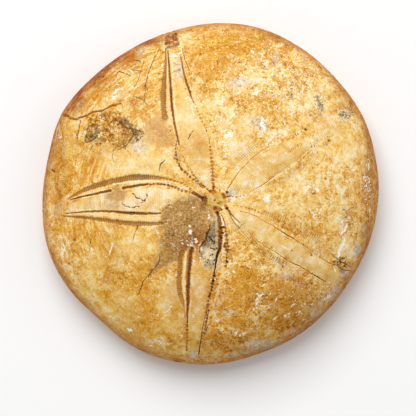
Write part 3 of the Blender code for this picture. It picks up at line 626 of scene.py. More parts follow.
# Grey translucent patches; along the right and lower right edge they are a greyish painted reflection
GREY_AND_SHEEN = (
    (322, 301, 14, 11, 0.35), (138, 326, 12, 12, 0.2), (346, 122, 8, 10, 0.3), (214, 200, 8, 6, 0.35),
    (216, 144, 10, 12, 0.25), (242, 208, 12, 24, 0.2), (306, 314, 22, 14, 0.2), (230, 313, 11, 5, 0.6),
    (320, 116, 10, 8, 0.4), (239, 82, 13, 8, 0.7), (276, 56, 5, 10, 0.7), (256, 121, 11, 8, 0.7),
    (345, 112, 8, 8, 0.5), (178, 66, 7, 14, 0.5), (262, 345, 28, 7, 0.6), (194, 355, 7, 6, 0.7),
    (96, 132, 8, 9, 0.9), (338, 292, 10, 8, 0.5), (284, 275, 10, 6, 0.5), (258, 298, 12, 8, 0.4),
    (78, 104, 7, 4, 0.5), (358, 251, 6, 8, 0.9), (344, 274, 6, 4, 0.9), (300, 148, 20, 12, 0.25),
    (209, 259, 6, 9, 0.3), (179, 72, 5, 11, 0.7), (140, 50, 6, 10, 0.6), (232, 193, 7, 5, 0.7),
    (135, 65, 5, 10, 0.4), (140, 146, 14, 9, 0.7), (112, 206, 10, 4, 0.6), (224, 120, 8, 12, 0.5),
    (238, 150, 12, 10, 0.4), (320, 88, 12, 10, 0.4), (300, 285, 18, 8, 0.4), (271, 347, 14, 6, 0.7),
    (298, 333, 12, 7, 0.6), (320, 315, 10, 8, 0.6), (338, 294, 8, 9, 0.6), (366, 230, 4, 14, 0.5),
    (352, 270, 6, 8, 0.5), (240, 355, 20, 4, 0.6), (264, 128, 6, 8, 0.6),
)
HAZE = (  # sand showing through a thin skin of calcite
    (196, 199, 14, 7, 0.9), (182, 202, 12, 6, 0.7), (204, 205, 8, 8, 0.8), (166, 225, 8, 20, 0.6),
    (168, 250, 14, 14, 0.7), (178, 258, 14, 7, 0.6), (158, 262, 10, 8, 0.5), (115, 194, 11, 7, 1.3),
    (55, 216, 7, 5, 0.6), (57, 208, 8, 5, 0.4), (109, 206, 10, 5, 0.35), (214, 228, 5, 10, 0.3),
)
CALM = (  # where the calcite is clear and even
    (108, 232, 46, 30, 0.9), (104, 310, 40, 44, 0.9), (160, 250, 20, 12, 0.5), (128, 160, 44, 20, 0.9),
    (196, 150, 16, 50, 0.6), (160, 320, 34, 40, 0.8), (60, 160, 16, 40, 0.5), (250, 212, 24, 14, 0.6),
    (250, 170, 24, 18, 0.6), (115, 80, 40, 34, 0.3), (346, 140, 20, 20, 0.4), (200, 345, 30, 14, 0.4),
)
STREAKS = (
    (90, 170, 26, 14, 0.9), (84, 236, 34, 24, 0.9), (110, 204, 40, 10, 0.5), (150, 262, 24, 14, 0.3),
    (118, 72, 44, 26, 1.0), (84, 100, 28, 22, 0.9), (144, 60, 16, 22, 0.7), (150, 95, 14, 26, 0.8),
    (362, 180, 12, 40, 0.5), (310, 312, 36, 18, 0.5), (128, 300, 16, 24, 0.3), (220, 36, 50, 8, 0.4),
    (170, 230, 6, 10, 0.3),
)
DARK_FLECKS = (
    (93, 136, 9, 6, 1.0), (136, 133, 7, 8, 1.0), (122, 121, 6, 4, 0.9), (92, 149, 6, 4, 0.7),
    (80, 104, 8, 4, 0.7), (320, 102, 6, 11, 0.9), (290, 92, 8, 8, 0.6), (346, 114, 9, 5, 0.9),
    (106, 68, 8, 4, 0.7), (172, 233, 6, 5, 0.8), (207, 262, 7, 7, 0.5), (347, 213, 5, 7, 0.7),
    (352, 107, 8, 6, 0.7), (343, 262, 8, 6, 1.0), (344, 271, 4, 4, 1.0), (284, 265, 6, 5, 0.6),
)
# Where white flecks gather; their white is partly painted glints of the lamps
WHITE_FLECKS_AND_GLINTS = (
    (367, 188, 7, 34, 0.5), (327, 297, 9, 7, 0.7), (270, 70, 60, 40, 0.55), (312, 190, 22, 10, 0.4),
    (190, 243, 14, 8, 0.4), (62, 250, 8, 16, 0.5), (56, 132, 6, 16, 0.5), (262, 302, 14, 12, 0.4),
    (240, 334, 14, 6, 0.3), (346, 225, 10, 16, 0.8), (290, 90, 40, 30, 0.5), (330, 290, 16, 12, 0.3),
    (152, 345, 24, 10, 0.4), (222, 145, 10, 14, 0.7), (210, 245, 8, 8, 0.4), (115, 60, 14, 8, 0.5),
    (255, 185, 14, 8, 0.5),
)


# ---- The smooth form ---------------------------------------------------------------------------
def smooth_step(low, high, value):
    """0 below low, 1 above high and a smooth rise between them."""
    share = np.clip((value - low) / (high - low), 0.0, 1.0)
    return share * share * (3.0 - 2.0 * share)


def bump(distance, radius):
    """1 at no distance, falling smoothly to nothing a few radii away."""
    return np.exp(-((distance / radius) ** 2))


def rim_radius(azimuth):
    """Distance from the apex to the widest line, through RIM_RADII as a closed Catmull-Rom curve."""
    step = 360.0 / len(RIM_RADII)
    place = (azimuth % 360.0) / step
    first = np.floor(place).astype(int)
    f = place - first
    a, b, c, d = (RIM_RADII[(first + k) % len(RIM_RADII)] for k in (-1, 0, 1, 2))
    return 0.5 * (
        2.0 * b + (c - a) * f + (2.0 * a - 5.0 * b + 4.0 * c - d) * f**2 + (3.0 * (b - c) + d - a) * f**3
    )


def dome_height(share):
    """Height of the smooth dome at a share of the way from the apex to the rim."""
    return WIDEST_AT + (HEIGHT - WIDEST_AT) * (1.0 - share**DOME_SHOULDER) ** DOME_EDGE


def rim_plan(azimuth):
    """Plan positions of the widest line."""
    angle = np.radians(azimuth)
    return APEX + rim_radius(azimuth)[:, None] * np.stack((np.cos(angle), np.sin(angle)), axis=1)


def below_share(travel):
    """Share of the way from the mouth to the rim, past the widest line."""
    on_flank = FLAT_FROM + (1.0 - FLAT_FROM) * np.cos(np.radians(90.0) * (travel - 1.0))
    return np.where(travel < 2.0, on_flank, FLAT_FROM * (3.0 - travel))


def smooth_form(azimuth, travel):
    """Points of the test without its relief. Travel is 0 at the apex, 1 at the rim, 2 where the
    flank meets the base and 3 in the mouth."""
    rim = rim_plan(azimuth)
    share = np.clip(travel, 0.0, 1.0)
    on_top = APEX + share[:, None] * (rim - APEX)
    underneath = MOUTH + below_share(travel)[:, None] * (rim - MOUTH)
    plan = np.where((travel <= 1.0)[:, None], on_top, underneath)
    turn = np.radians(90.0) * np.clip(travel - 1.0, 0.0, 1.0)
    height = np.where(travel <= 1.0, dome_height(share), WIDEST_AT * (1.0 - np.sin(turn)))
    return np.column_stack((plan, height))


def leaf_width(share, widest_at):
    """Width of a petal, as a share of its greatest."""
    reach = share / widest_at
    return (reach * np.exp(1.0 - reach)) ** PETAL_TAPER


def axis_azimuth(petal, share):
    azimuth, swing, curl = petal[:3]
    return azimuth + swing * share + curl * share**3


def turned(angle):
    """The same angle, between -180 and 180 degrees."""
    return (angle + 180.0) % 360.0 - 180.0


def petal_relief(azimuth, share):
    """The vaults of the petals and the swell of the plates between them."""
    radius = np.maximum(share, 0.02) * rim_radius(azimuth)
    fade = smooth_step(*PETAL_STARTS, share)
    height = np.zeros_like(azimuth)
    edges = []
    for petal in PETALS:
        inner = petal[3] * leaf_width(share, INNER_WIDEST_AT) + 1e-6
        outer = petal[4] * leaf_width(share, OUTER_WIDEST_AT) + 0.8
        axis = axis_azimuth(petal, share)
        across = np.radians(turned(azimuth - axis)) * radius
        vault = np.clip(1.0 - (across / inner) ** 2, 0.0, 1.0)
        height += fade * (1.0 - share**8) * PETAL_VAULT * vault
        half_angle = np.degrees(outer / radius)
        edges.append((axis - half_angle, axis + half_angle))
    for own, following in zip(edges, edges[1:] + edges[:1]):
        gap = (following[0] - own[1]) % 360.0
        place = ((azimuth - own[1]) % 360.0) / gap
        swell = np.sin(np.pi * np.clip(place, 0.0, 1.0))
        height += PLATE_SWELL * swell * fade * (1.0 - share**4)
    return height


def leaf_cover(azimuth, share):
    """1 between the outer rows of a petal and 0 outside them."""
    cover = np.zeros_like(azimuth)
    for petal in PETALS:
        outer = petal[4] * leaf_width(share, OUTER_WIDEST_AT) + 1e-6
        turn = np.radians(turned(azimuth - axis_azimuth(petal, share)))
        across = np.abs(turn) * share * rim_radius(azimuth)
        cover = np.maximum(cover, smooth_step(1.1, 0.8, across / outer) * smooth_step(1.0, 0.8, share))
    return cover


def apical_relief(plan):
    """The button at the apex."""
    return DISC_RISE * bump(np.hypot(*(plan - APEX).T), DISC_RADIUS) - DISC_RISE


def underside_relief(azimuth, travel, plan):
    """How far the underside is hollowed: furrows, leaves and cushions by the mouth, mouth and vent."""
    share = below_share(travel)
    depth = np.zeros_like(azimuth)
    leaf = bump(share - PHYLLODE["at"], PHYLLODE["spread"])
    half_width = (FURROW_HALF_WIDTH + PHYLLODE["widen"] * leaf) * smooth_step(-0.02, 0.2, share)
    near_mouth = smooth_step(MOUTH_PIT["floor"], PHYLLODE["at"], share)
    cushion = bump(share - BOURRELET["at"], BOURRELET["spread"])
    between = np.ones_like(azimuth)
    for petal in PETALS:
        turn = np.radians(turned(azimuth - axis_azimuth(petal, share)))
        across = np.abs(turn) * share * rim_radius(azimuth) / half_width
        furrow = 0.5 + 0.5 * np.cos(np.pi * np.clip(across, 0.0, 1.0))
        depth += (FURROW_DEPTH + PHYLLODE["depth"] * leaf) * furrow * near_mouth
        between *= 1.0 - bump(np.degrees(turn), CUSHION_EDGE)
    depth += VESTIBULE["depth"] * (1.0 - smooth_step(0.0, VESTIBULE["share"], share)) ** 1.5
    depth += MOUTH_PIT["depth"] * (1.0 - smooth_step(MOUTH_PIT["floor"], MOUTH_PIT["edge"], share))
    depth = np.maximum(0.0, depth - BOURRELET["rise"] * cushion * between)
    inside = ((plan - VENT["place"]) / VENT["half_sizes"]) ** 2
    vent = VENT["depth"] * np.sqrt(np.clip(1.0 - inside.sum(1), 0.0, 1.0))
    return np.where(travel > 1.0, (depth + vent * (travel > 1.8)) * smooth_step(1.0, 1.9, travel), 0.0)


# ---- From the picture to the dome ---------------------------------------------------------------
def camera_axes():
    """Where the camera stands, and its right, up and backward directions, in millimetres."""
    tilt, lean = math.radians(CAMERA_TILT), math.radians(CAMERA_LEAN)
    back = np.array((math.sin(tilt) * math.cos(lean), math.sin(tilt) * math.sin(lean), math.cos(tilt)))
    right = np.cross((0.0, 1.0, 0.0), back)
    right /= np.linalg.norm(right)
    up = np.cross(back, right)
    place = np.array((*PICTURE_CENTRE, WIDEST_AT)) + CAMERA_DISTANCE * back
    return place, right, up, back


def on_dome(pixels):
    """Plan positions of the places on the dome that pixels of the picture show."""
    place, right, up, back = camera_axes()
    offset = (np.atleast_2d(np.array(pixels, float)) - PICTURE_PIXELS / 2.0) * PIXEL
    ray = offset[:, :1] * right - offset[:, 1:] * up - CAMERA_DISTANCE * back
    height = np.full(len(offset), WIDEST_AT)
    for _ in range(DOME_ROUNDS):
        plan = (place + ray * ((height - place[2]) / ray[:, 2])[:, None])[:, :2]
        away = plan - APEX
        share = np.hypot(*away.T) / rim_radius(np.degrees(np.arctan2(away[:, 1], away[:, 0])))
        height = 0.5 * (height + dome_height(np.minimum(share, 0.995)))
    return plan


def smooth_curve(points, step, closed=False):
    """A Catmull-Rom curve through the points, with a place about every step along it."""
    if closed:
        padded = np.vstack((points[-1], points, points[0], points[1]))
    else:
        padded = np.vstack((2 * points[0] - points[1], points, 2 * points[-1] - points[-2]))
    curve = []
    for a, b, c, d in zip(padded, padded[1:], padded[2:], padded[3:]):
        count = max(2, int(np.ceil(np.linalg.norm(c - b) / step)))
        f = (np.arange(count) / count)[:, None]
        curve.append(0.5 * (
            2 * b + (c - a) * f + (2 * a - 5 * b + 4 * c - d) * f**2 + (3 * (b - c) + d - a) * f**3
        ))  # fmt: skip
    if not closed:
        curve.append(points[-1:])
    return np.vstack(curve)


# ---- Strokes, spots and patches -----------------------------------------------------------------
class Marks:
    """The nearest mark of one kind to every point: how deep inside it the point is (1 on its middle
    line, 0 at its edge, less outside), its tone and depth, and where along and across it is."""

    FAR = -4.0

    def __init__(self, plan, usable, wobble=0.0):
        self.plan = plan
        self.wobble = wobble
        self.usable = usable
        self.inside = np.full(len(plan), self.FAR)
        self.gap = np.full(len(plan), 9.0)
        self.tone = np.full(len(plan), 0.5)
        self.depth = np.zeros(len(plan))
        self.along = np.zeros(len(plan))
        self.across = np.zeros(len(plan))

    def stroke(self, points, widths, tone=0.5, depth=0.0):
        curve = smooth_curve(points, STROKE_STEP)
        bends = [noise.noise_vector((*place, 0.5))[:2] for place in curve * WOBBLE_SCALE]
        curve = curve + self.wobble * np.array(bends)
        steps = np.linalg.norm(np.diff(curve, axis=0), axis=1)
        length = np.concatenate(([0.0], np.cumsum(steps)))
        share = length / length[-1]
        half = 0.5 * np.interp(share, np.linspace(0.0, 1.0, len(widths)), widths)
        tones = np.atleast_1d(tone)
        tone = np.interp(share, np.linspace(0.0, 1.0, len(tones)), tones)
        reach = 3.5 * half.max() + 0.6
        near = self.near(curve.min(0) - reach, curve.max(0) + reach)
        if not len(near):
            return
        away = self.plan[near][:, None, :] - curve[None]
        distance = np.hypot(away[..., 0], away[..., 1])
        k = distance.argmin(1)
        rows = np.arange(len(near))
        nearest = distance[rows, k]
        ahead = curve[np.minimum(k + 1, len(curve) - 1)] - curve[np.maximum(k - 1, 0)]
        ahead /= np.linalg.norm(ahead, axis=1)[:, None]
        off = away[rows, k]
        along = length[k] + (off * ahead).sum(1)
        across = ahead[:, 0] * off[:, 1] - ahead[:, 1] * off[:, 0]
        within = (along >= 0.0) & (along <= length[-1])
        nearest = np.where(within & (nearest < 1.0), np.minimum(nearest, np.abs(across)), nearest)
        self.keep(near, nearest, half[k], tone[k], depth, along, across)

    def spot(self, place, radius, tone, depth):
        near = self.near(place - 4.0 * radius, place + 4.0 * radius)
        away = self.plan[near] - place
        tones = np.full(len(near), tone)
        self.keep(near, np.hypot(*away.T), np.full(len(near), radius), tones, depth, away[:, 0], away[:, 1])

    def near(self, low, high):
        inside = (self.plan > low) & (self.plan < high)
        return np.flatnonzero(inside.all(1) & self.usable)

    def keep(self, near, distance, half, tone, depth, along, across):
        inside = 1.0 - distance / half
        better = inside > self.inside[near]
        rows = near[better]
        self.inside[rows] = inside[better]
        self.tone[rows] = tone[better]
        self.depth[rows] = depth
        self.along[rows] = along[better]
        self.across[rows] = across[better]
        self.gap[near] = np.minimum(self.gap[near], distance - half)


def inside_outline(plan, outlines):
    """How far inside the nearest of some closed outlines each point is, in millimetres."""
    best = np.full(len(plan), FAR_OUTSIDE)
    for pixels in outlines:
        curve = smooth_curve(on_dome(pixels), OUTLINE_STEP, closed=True)
        low, high = curve.min(0) - OUTLINE_REACH, curve.max(0) + OUTLINE_REACH
        near = np.flatnonzero(((plan > low) & (plan < high)).all(1))
        start, end = curve, np.roll(curve, -1, axis=0)
        edge = end - start
        off = plan[near][:, None, :] - start[None]
        f = np.clip((off * edge).sum(2) / (edge**2).sum(1), 0.0, 1.0)
        gap = np.linalg.norm(off - f[..., None] * edge, axis=2).min(1)
        x, y = plan[near][:, :1], plan[near][:, 1:]
        crosses = (start[:, 1] > y) != (end[:, 1] > y)
        rise = np.where(edge[:, 1] == 0.0, 1e-9, edge[:, 1])
        at = start[:, 0] + (y - start[:, 1]) * edge[:, 0] / rise
        odd = (crosses & (x < at)).sum(1) % 2 == 1
        best[near] = np.maximum(best[near], np.where(odd, gap, -gap))
    return best


def stain(plan, spots):
    """How strongly broad soft stains cover each point, from 0 to 1."""
    clear = np.ones(len(plan))
    for x, y, *sizes, strength in spots:
        away = (plan - on_dome((x, y))) / (np.array(sizes) * PIXEL)
        clear *= 1.0 - np.clip(strength * np.exp(-((away**2).sum(1) ** 1.2)), 0.0, 1.0)
    return 1.0 - clear


def rows_below(marks):
    """The pore rows on the flank and the underside, two to a petal."""
    for petal in PETALS:
        for side in (-1.0, 1.0):
            share = np.array((1.0, 0.9, 0.78, 0.6, 0.42, 0.28, 0.2, 0.13))
            widen = 0.6 * PHYLLODE["widen"] * bump(share - PHYLLODE["at"], PHYLLODE["spread"])
            offset = side * (0.95 + widen) * smooth_step(0.0, 0.15, share)
            axis = axis_azimuth(petal, share)
            azimuth = axis + np.degrees(offset / (share * rim_radius(axis)))
            points = MOUTH + share[:, None] * (rim_plan(azimuth) - MOUTH)
            marks.stroke(points, (0.5, 0.45, 0.7), 0.45, 0.12)


def flakes_and_glints(marks, seed, centre, sizes, count, length, lean):
    """A cluster of short scratches that lean about the same way; the shader paints them white, partly as
    painted glints.
    """
    chance = np.random.default_rng(seed)
    for _ in range(count):
        middle = on_dome(np.array(centre) + chance.normal(0.0, 0.6, 2) * sizes)
        turn = math.radians(lean + chance.normal(0.0, 18.0))
        half = 0.5 * length * chance.uniform(0.4, 1.4) * np.array((math.cos(turn), math.sin(turn)))
        width = chance.uniform(0.16, 0.42)
        marks.stroke(np.vstack((middle - half, middle + half)), (0.5 * width, width, 0.4 * width))


def rungs(marks, seed, points, spacing, length, width, tone):
    """Uneven short bars across a line, some of them left out."""
    chance = np.random.default_rng(seed)
    curve = smooth_curve(points, 0.1)
    along = np.concatenate(([0.0], np.cumsum(np.linalg.norm(np.diff(curve, axis=0), axis=1))))
    for place in np.arange(0.3 * spacing, along[-1], spacing):
        place += chance.uniform(-0.2, 0.2) * spacing
        strength = chance.uniform(0.45, 1.25)
        side = chance.uniform(-0.25, 0.25, 2) * length
        if strength < 0.6:
            continue
        at = int(np.searchsorted(along, place).clip(1, len(curve) - 2))
        ahead = curve[at + 1] - curve[at - 1]
        across = np.array((-ahead[1], ahead[0])) / np.hypot(*ahead)
        ends = curve[at] + np.array((-0.5, 0.5))[:, None] * length * across + side[:, None] * across
        widths = (0.7 * width * strength, width * strength, 0.7 * width * strength)
        marks.stroke(ends, widths, tone, RUNG_DEPTH)


def all_marks(travel, plan):
    """Every kind of mark at every point."""
    on_top = travel <= 1.0001
    strokes = {"row": ROWS, "bead": BEADS, "band": BANDS, "net": NETS, "ridge": RIDGES_AND_HIGHLIGHTS, "crack": CRACKS}
    names = (*strokes, "chip", "rung", "spot")
    kinds = {name: Marks(plan, on_top, WOBBLES.get(name, 0.0)) for name in names}
    for name, lines in strokes.items():
        for points, *facts in lines:
            kinds[name].stroke(on_dome(points), *facts)
    for widths, lines in CHIPS_AND_GLINTS:
        for points in lines:
            kinds["chip"].stroke(on_dome(points), widths)
    for number, facts in enumerate(FLAKES_AND_GLINTS):
        flakes_and_glints(kinds["chip"], number, *facts)
    for number, (points, *facts) in enumerate(RUNGS):
        rungs(kinds["rung"], number, on_dome(points), *facts)
    for x, y, *facts in SPOTS:
        kinds["spot"].spot(on_dome((x, y))[0], *facts)
    kinds["row_below"] = Marks(plan, ~on_top)
    rows_below(kinds["row_below"])
    return kinds


# ---- The mesh ----------------------------------------------------------------------------------
def ring_travels():
    """Travel of each ring of the first mesh, spaced evenly over the smooth form."""
    travel = np.linspace(0.0, 2.995, 4000)
    path = smooth_form(np.full_like(travel, 100.0), travel)
    length = np.concatenate(([0.0], np.cumsum(np.linalg.norm(np.diff(path, axis=0), axis=1))))
    spacing = SPACING_ON_TOP + (SPACING_BELOW - SPACING_ON_TOP) * smooth_step(1.0, 1.6, travel)
    count = np.concatenate(([0.0], np.cumsum(np.diff(length) / spacing[1:] / RING_ASPECT)))
    return np.interp(np.arange(1, int(count[-1])), count, travel)


def first_mesh():
    """Rings of evenly spaced points, as places in a disc whose radius is the travel, and the
    triangles that join them."""
    places = [np.zeros((1, 2))]
    triangles = []
    inner = [0]
    total = 1
    for number, travel in enumerate(ring_travels()):
        azimuth = np.arange(0.0, 360.0, 2.0)
        ring = smooth_form(azimuth, np.full_like(azimuth, travel))
        around = np.linalg.norm(ring - np.roll(ring, 1, axis=0), axis=1).sum()
        spacing = SPACING_ON_TOP + (SPACING_BELOW - SPACING_ON_TOP) * float(smooth_step(1.0, 1.6, travel))
        count = max(6, round(around / spacing))
        angle = 2.0 * np.pi * (np.arange(count) + 0.5 * (number % 2)) / count
        places.append(travel * np.stack((np.cos(angle), np.sin(angle)), axis=1))
        outer = list(range(total, total + count))
        triangles += zipped(inner, outer)
        inner = outer
        total += count
    places.append(np.zeros((1, 2)))
    triangles += [(a, total, b) for a, b in zip(inner, inner[1:] + inner[:1])]
    return np.vstack(places), np.array(triangles)


def zipped(inner, outer):
    """Triangles between two rings of different counts, going round both together."""
    if len(inner) == 1:
        return [(inner[0], a, b) for a, b in zip(outer, outer[1:] + outer[:1])]
    triangles = []
    i = j = 0
    while i < len(inner) or j < len(outer):
        a, b = inner[i % len(inner)], outer[j % len(outer)]
        if (i + 1) / len(inner) < (j + 1) / len(outer):
            triangles.append((a, b, inner[(i + 1) % len(inner)]))
            i += 1
        else:
            triangles.append((a, b, outer[(j + 1) % len(outer)]))
            j += 1
    return triangles


def refined(places, triangles, chosen):
    """Splits the chosen triangles in four, and their neighbours just enough to stay joined."""
    count = len(places)
    sides = np.sort(triangles[:, ((0, 1), (1, 2), (2, 0))], axis=2)
    keys = sides[..., 0] * count + sides[..., 1]
    split = np.unique(keys[chosen])
    middles = 0.5 * (places[split // count] + places[split % count])
    at = np.searchsorted(split, keys).clip(0, len(split) - 1)
    middle = np.where(split[at] == keys, count + at, -1)
    splits = (middle >= 0).sum(1)
    whole = triangles[splits == 0]
    a, b, c = triangles[splits == 3].T
    ab, bc, ca = middle[splits == 3].T
    made = [whole, np.stack((a, ab, ca), 1), np.stack((ab, b, bc), 1), np.stack((ca, bc, c), 1),
            np.stack((ab, bc, ca), 1)]  # fmt: skip
    for first in range(3):
        turn = [first, (first + 1) % 3, (first + 2) % 3]
        one = (splits == 1) & (middle[:, first] >= 0)
        a, b, c = triangles[one][:, turn].T
        ab = middle[one, first]
        made += [np.stack((a, ab, c), 1), np.stack((ab, b, c), 1)]
        two = (splits == 2) & (middle[:, turn[2]] < 0)
        a, b, c = triangles[two][:, turn].T
        ab, bc = middle[two][:, turn[:2]].T
        made += [np.stack((ab, b, bc), 1), np.stack((a, ab, bc), 1), np.stack((a, bc, c), 1)]
    return np.vstack((places, middles)), np.vstack(made)


def spread(places, mouth):
    """Azimuth, travel and smooth point of every place in the disc."""
    travel = np.hypot(*places.T)
    travel[mouth] = 3.0
    azimuth = np.degrees(np.arctan2(places[:, 1], places[:, 0])) % 360.0
    return azimuth, travel, smooth_form(azimuth, travel)


def mesh_and_marks():
    """The mesh, made finer near the marks, with the marks at each of its points."""
    places, triangles = first_mesh()
    mouth = len(places) - 1
    for level, reach in enumerate(REFINE_NEAR):
        azimuth, travel, form = spread(places, mouth)
        marks = all_marks(travel, form[:, :2])
        sharp = ("row", "crack", "spot", "rung")
        if level == 0:
            sharp += ("bead", "band", "chip")
        gap = np.minimum.reduce([marks[name].gap for name in sharp])
        near = gap < reach
        if level == 0:
            near |= np.abs(inside_outline(form[:, :2], MATRIX + DISC) - 0.3) < 0.8
            near |= (np.hypot(*(form[:, :2] - VENT["place"]).T) < 4.0) & (travel > 1.8)
        chosen = near[triangles].any(1) & ~(triangles == mouth).any(1)
        places, triangles = refined(places, triangles, chosen)
    azimuth, travel, form = spread(places, mouth)
    return azimuth, travel, form, triangles, all_marks(travel, form[:, :2])


def vertex_normals(points, triangles):
    a, b, c = (points[triangles[:, k]] for k in range(3))
    face = np.cross(b - a, c - a)
    normals = np.zeros_like(points)
    for k in range(3):
        np.add.at(normals, triangles[:, k], face)
    return normals / np.maximum(np.linalg.norm(normals, axis=1), 1e-12)[:, None]


def noise_at(points, scale, seed):
    """Smooth noise between about -1 and 1, whose swells are about 1 / scale apart."""
    shifted = points * scale + seed
    return np.array([noise.noise(Vector(p)) for p in shifted])


def fine_relief(form, marks, patches):
    """Everything that is pressed into or stands on the smooth form, along its normals."""
    broad = [height * noise_at(form, scale, shift) for height, scale, shift in (*UNEVENNESS, ROUGHNESS)]
    relief = broad[0] + broad[1] + broad[2]
    pits = np.clip(noise_at(form, 0.55, 12.9) - 0.42, 0.0, 1.0)
    relief -= 0.35 * pits * (0.3 + patches["white_flecks_and_glints"] + patches["orange"])
    for name, shoulder in SHOULDERS.items():
        mark = marks[name]
        relief -= mark.depth * smooth_step(-0.15, 0.9, mark.inside)
        relief += shoulder * mark.depth * bump(mark.inside + 0.75, 0.5)
    relief -= marks["spot"].depth * smooth_step(-0.1, 0.8, marks["spot"].inside)
    relief -= CHIP_DEPTH * smooth_step(-0.1, 0.5, marks["chip"].inside)
    relief -= RUNG_DEPTH * smooth_step(-0.1, 0.6, marks["rung"].inside)
    relief += RIDGE_HEIGHT * smooth_step(-0.2, 0.8, marks["ridge"].inside)
    sand = smooth_step(-0.3, 0.3, patches["matrix"])
    relief += sand * (0.07 * noise_at(form, 1.5, 5.5) - SAND_DEPTH)
    relief -= WINDOW_DEPTH * smooth_step(0.0, 0.6, patches["window"])
    relief += DISC_HEIGHT * smooth_step(-0.2, 0.4, patches["disc"])
    return relief


def all_patches(travel, plan):
    """Coverage by patches (millimetres inside their edge) and by stains (0 to 1)."""
    outlines = {
        "matrix": MATRIX, "window": WINDOWS, "sandy": SANDY, "tip": TIP, "rust": RUST, "glass": GLASS,
        "disc": DISC,
    }  # fmt: skip
    stains = {
        "haze": HAZE, "pale": PALE, "orange": ORANGE, "umber_and_shade": UMBER_AND_SHADE, "olive_and_shade": OLIVE_AND_SHADE, "grey_and_sheen": GREY_AND_SHEEN,
        "streaks": STREAKS, "calm": CALM, "dark_flecks": DARK_FLECKS, "white_flecks_and_glints": WHITE_FLECKS_AND_GLINTS,
    }  # fmt: skip
    on_top = travel <= 1.0
    fade = 1.0 - smooth_step(1.0, 1.7, travel)
    patches = {}
    for name, closed in outlines.items():
        inside = np.where(on_top, inside_outline(plan, closed), FAR_OUTSIDE)
        patches[name] = inside.clip(-PATCH_LIMIT, PATCH_LIMIT)
    for name, spots in stains.items():
        patches[name] = stain(plan, spots) * fade
    return patches


def fitted(points):
    """The points drawn in, where needed, so that none lies outside the CAD solid's box."""
    low, high = (np.array(corner) / MM for corner in CAD_BOX)
    low, high = low + FIT_GAP, high - FIT_GAP
    low[2] = 0.0
    centre = 0.5 * (points.min(0) + points.max(0))
    wanted = 0.5 * (low + high)
    scale = np.minimum(1.0, (high - low) / (points.max(0) - points.min(0)))
    moved = (points - centre) * scale + wanted
    moved[:, 2] = (points[:, 2] - points[:, 2].min()) * scale[2]
    return moved


def stone_mesh():
    """The dense mesh of the fossil, with its marks and patches as attributes."""
    azimuth, travel, form, triangles, marks = mesh_and_marks()
    plan = form[:, :2]
    patches = all_patches(travel, plan)
    on_top = travel <= 1.0
    upper = petal_relief(azimuth, np.minimum(travel, 1.0)) + apical_relief(plan)
    relief = np.where(on_top, upper, 0.0)
    relief -= underside_relief(azimuth, travel, plan)
    resting = smooth_step(1.75, 2.0, travel)
    relief += fine_relief(form, marks, patches) * (1.0 - 0.8 * resting)
    points = form + vertex_normals(form, triangles) * relief[:, None]
    points[:, 2] = np.maximum(points[:, 2], 0.0)
    points = fitted(points)
    mesh = bpy.data.meshes.new("fossil_stone")
    mesh.from_pydata((points * MM).tolist(), [], triangles.tolist())
    mesh.validate()
    mesh.shade_smooth()
    values = dict(patches)
    for name, mark in marks.items():
        values[name] = mark.inside
    for name in ("row", "bead", "rung", "crack", "spot", "band", "net", "ridge"):
        values[name + "_tone"] = marks[name].tone
    for name in ("row", "bead", "band", "net"):
        values[name + "_along"] = marks[name].along
    values["net_across"] = marks["net"].across
    values["ring"] = np.hypot(*(plan - APEX).T)
    values["leaf"] = leaf_cover(azimuth, travel)
    values["below"] = smooth_step(1.0, 1.8, travel)
    # Where the edge gets its painted shade
    values["rim"] = smooth_step(0.93, 1.0, travel)
    for name, value in values.items():
        layer = mesh.attributes.new(name, "FLOAT", "POINT")
        layer.data.foreach_set("value", value.astype(np.float32))
    return mesh


# ---- Building blocks of the shader -------------------------------------------------------------
class Field:
    """A number at every point of the stone: a shader socket on which plain arithmetic works."""

    def __init__(self, socket):
        self.socket = socket

    def math(self, operation, *others):
        node = self.socket.node.id_data.nodes.new("ShaderNodeMath")
        node.operation = operation
        for place, value in zip(node.inputs, (self, *others)):
            connect(value, place)
        return Field(node.outputs[0])

    def __add__(self, other):
        return self.math("ADD", other)

    def __sub__(self, other):
        return self.math("SUBTRACT", other)

    def __mul__(self, other):
        return self.math("MULTIPLY", other)

    __radd__ = __add__
    __rmul__ = __mul__

    def __rsub__(self, other):
        return (self * -1.0) + other

    def __neg__(self):
        return self * -1.0

    def above(self, low, high):
        """0 where the field is below low, 1 where it is above high, smooth between."""
        node = self.socket.node.id_data.nodes.new("ShaderNodeMapRange")
        node.interpolation_type = "SMOOTHSTEP"
        for name, value in (("Value", self), ("From Min", low), ("From Max", high)):
            connect(value, node.inputs[name])
        return Field(node.outputs[0])

    def clamped(self):
        return self.math("MAXIMUM", 0.0).math("MINIMUM", 1.0)


def connect(value, place):
    if isinstance(value, Field):
        place.id_data.links.new(value.socket, place)
    else:
        place.default_value = value


def linear(red, green, blue):
    """A shader colour from one given as screens show it, 0 to 255."""
    shares = (np.array((red, green, blue)) / 255.0 + 0.055) / 1.055
    return (*(shares**2.4), 1.0)


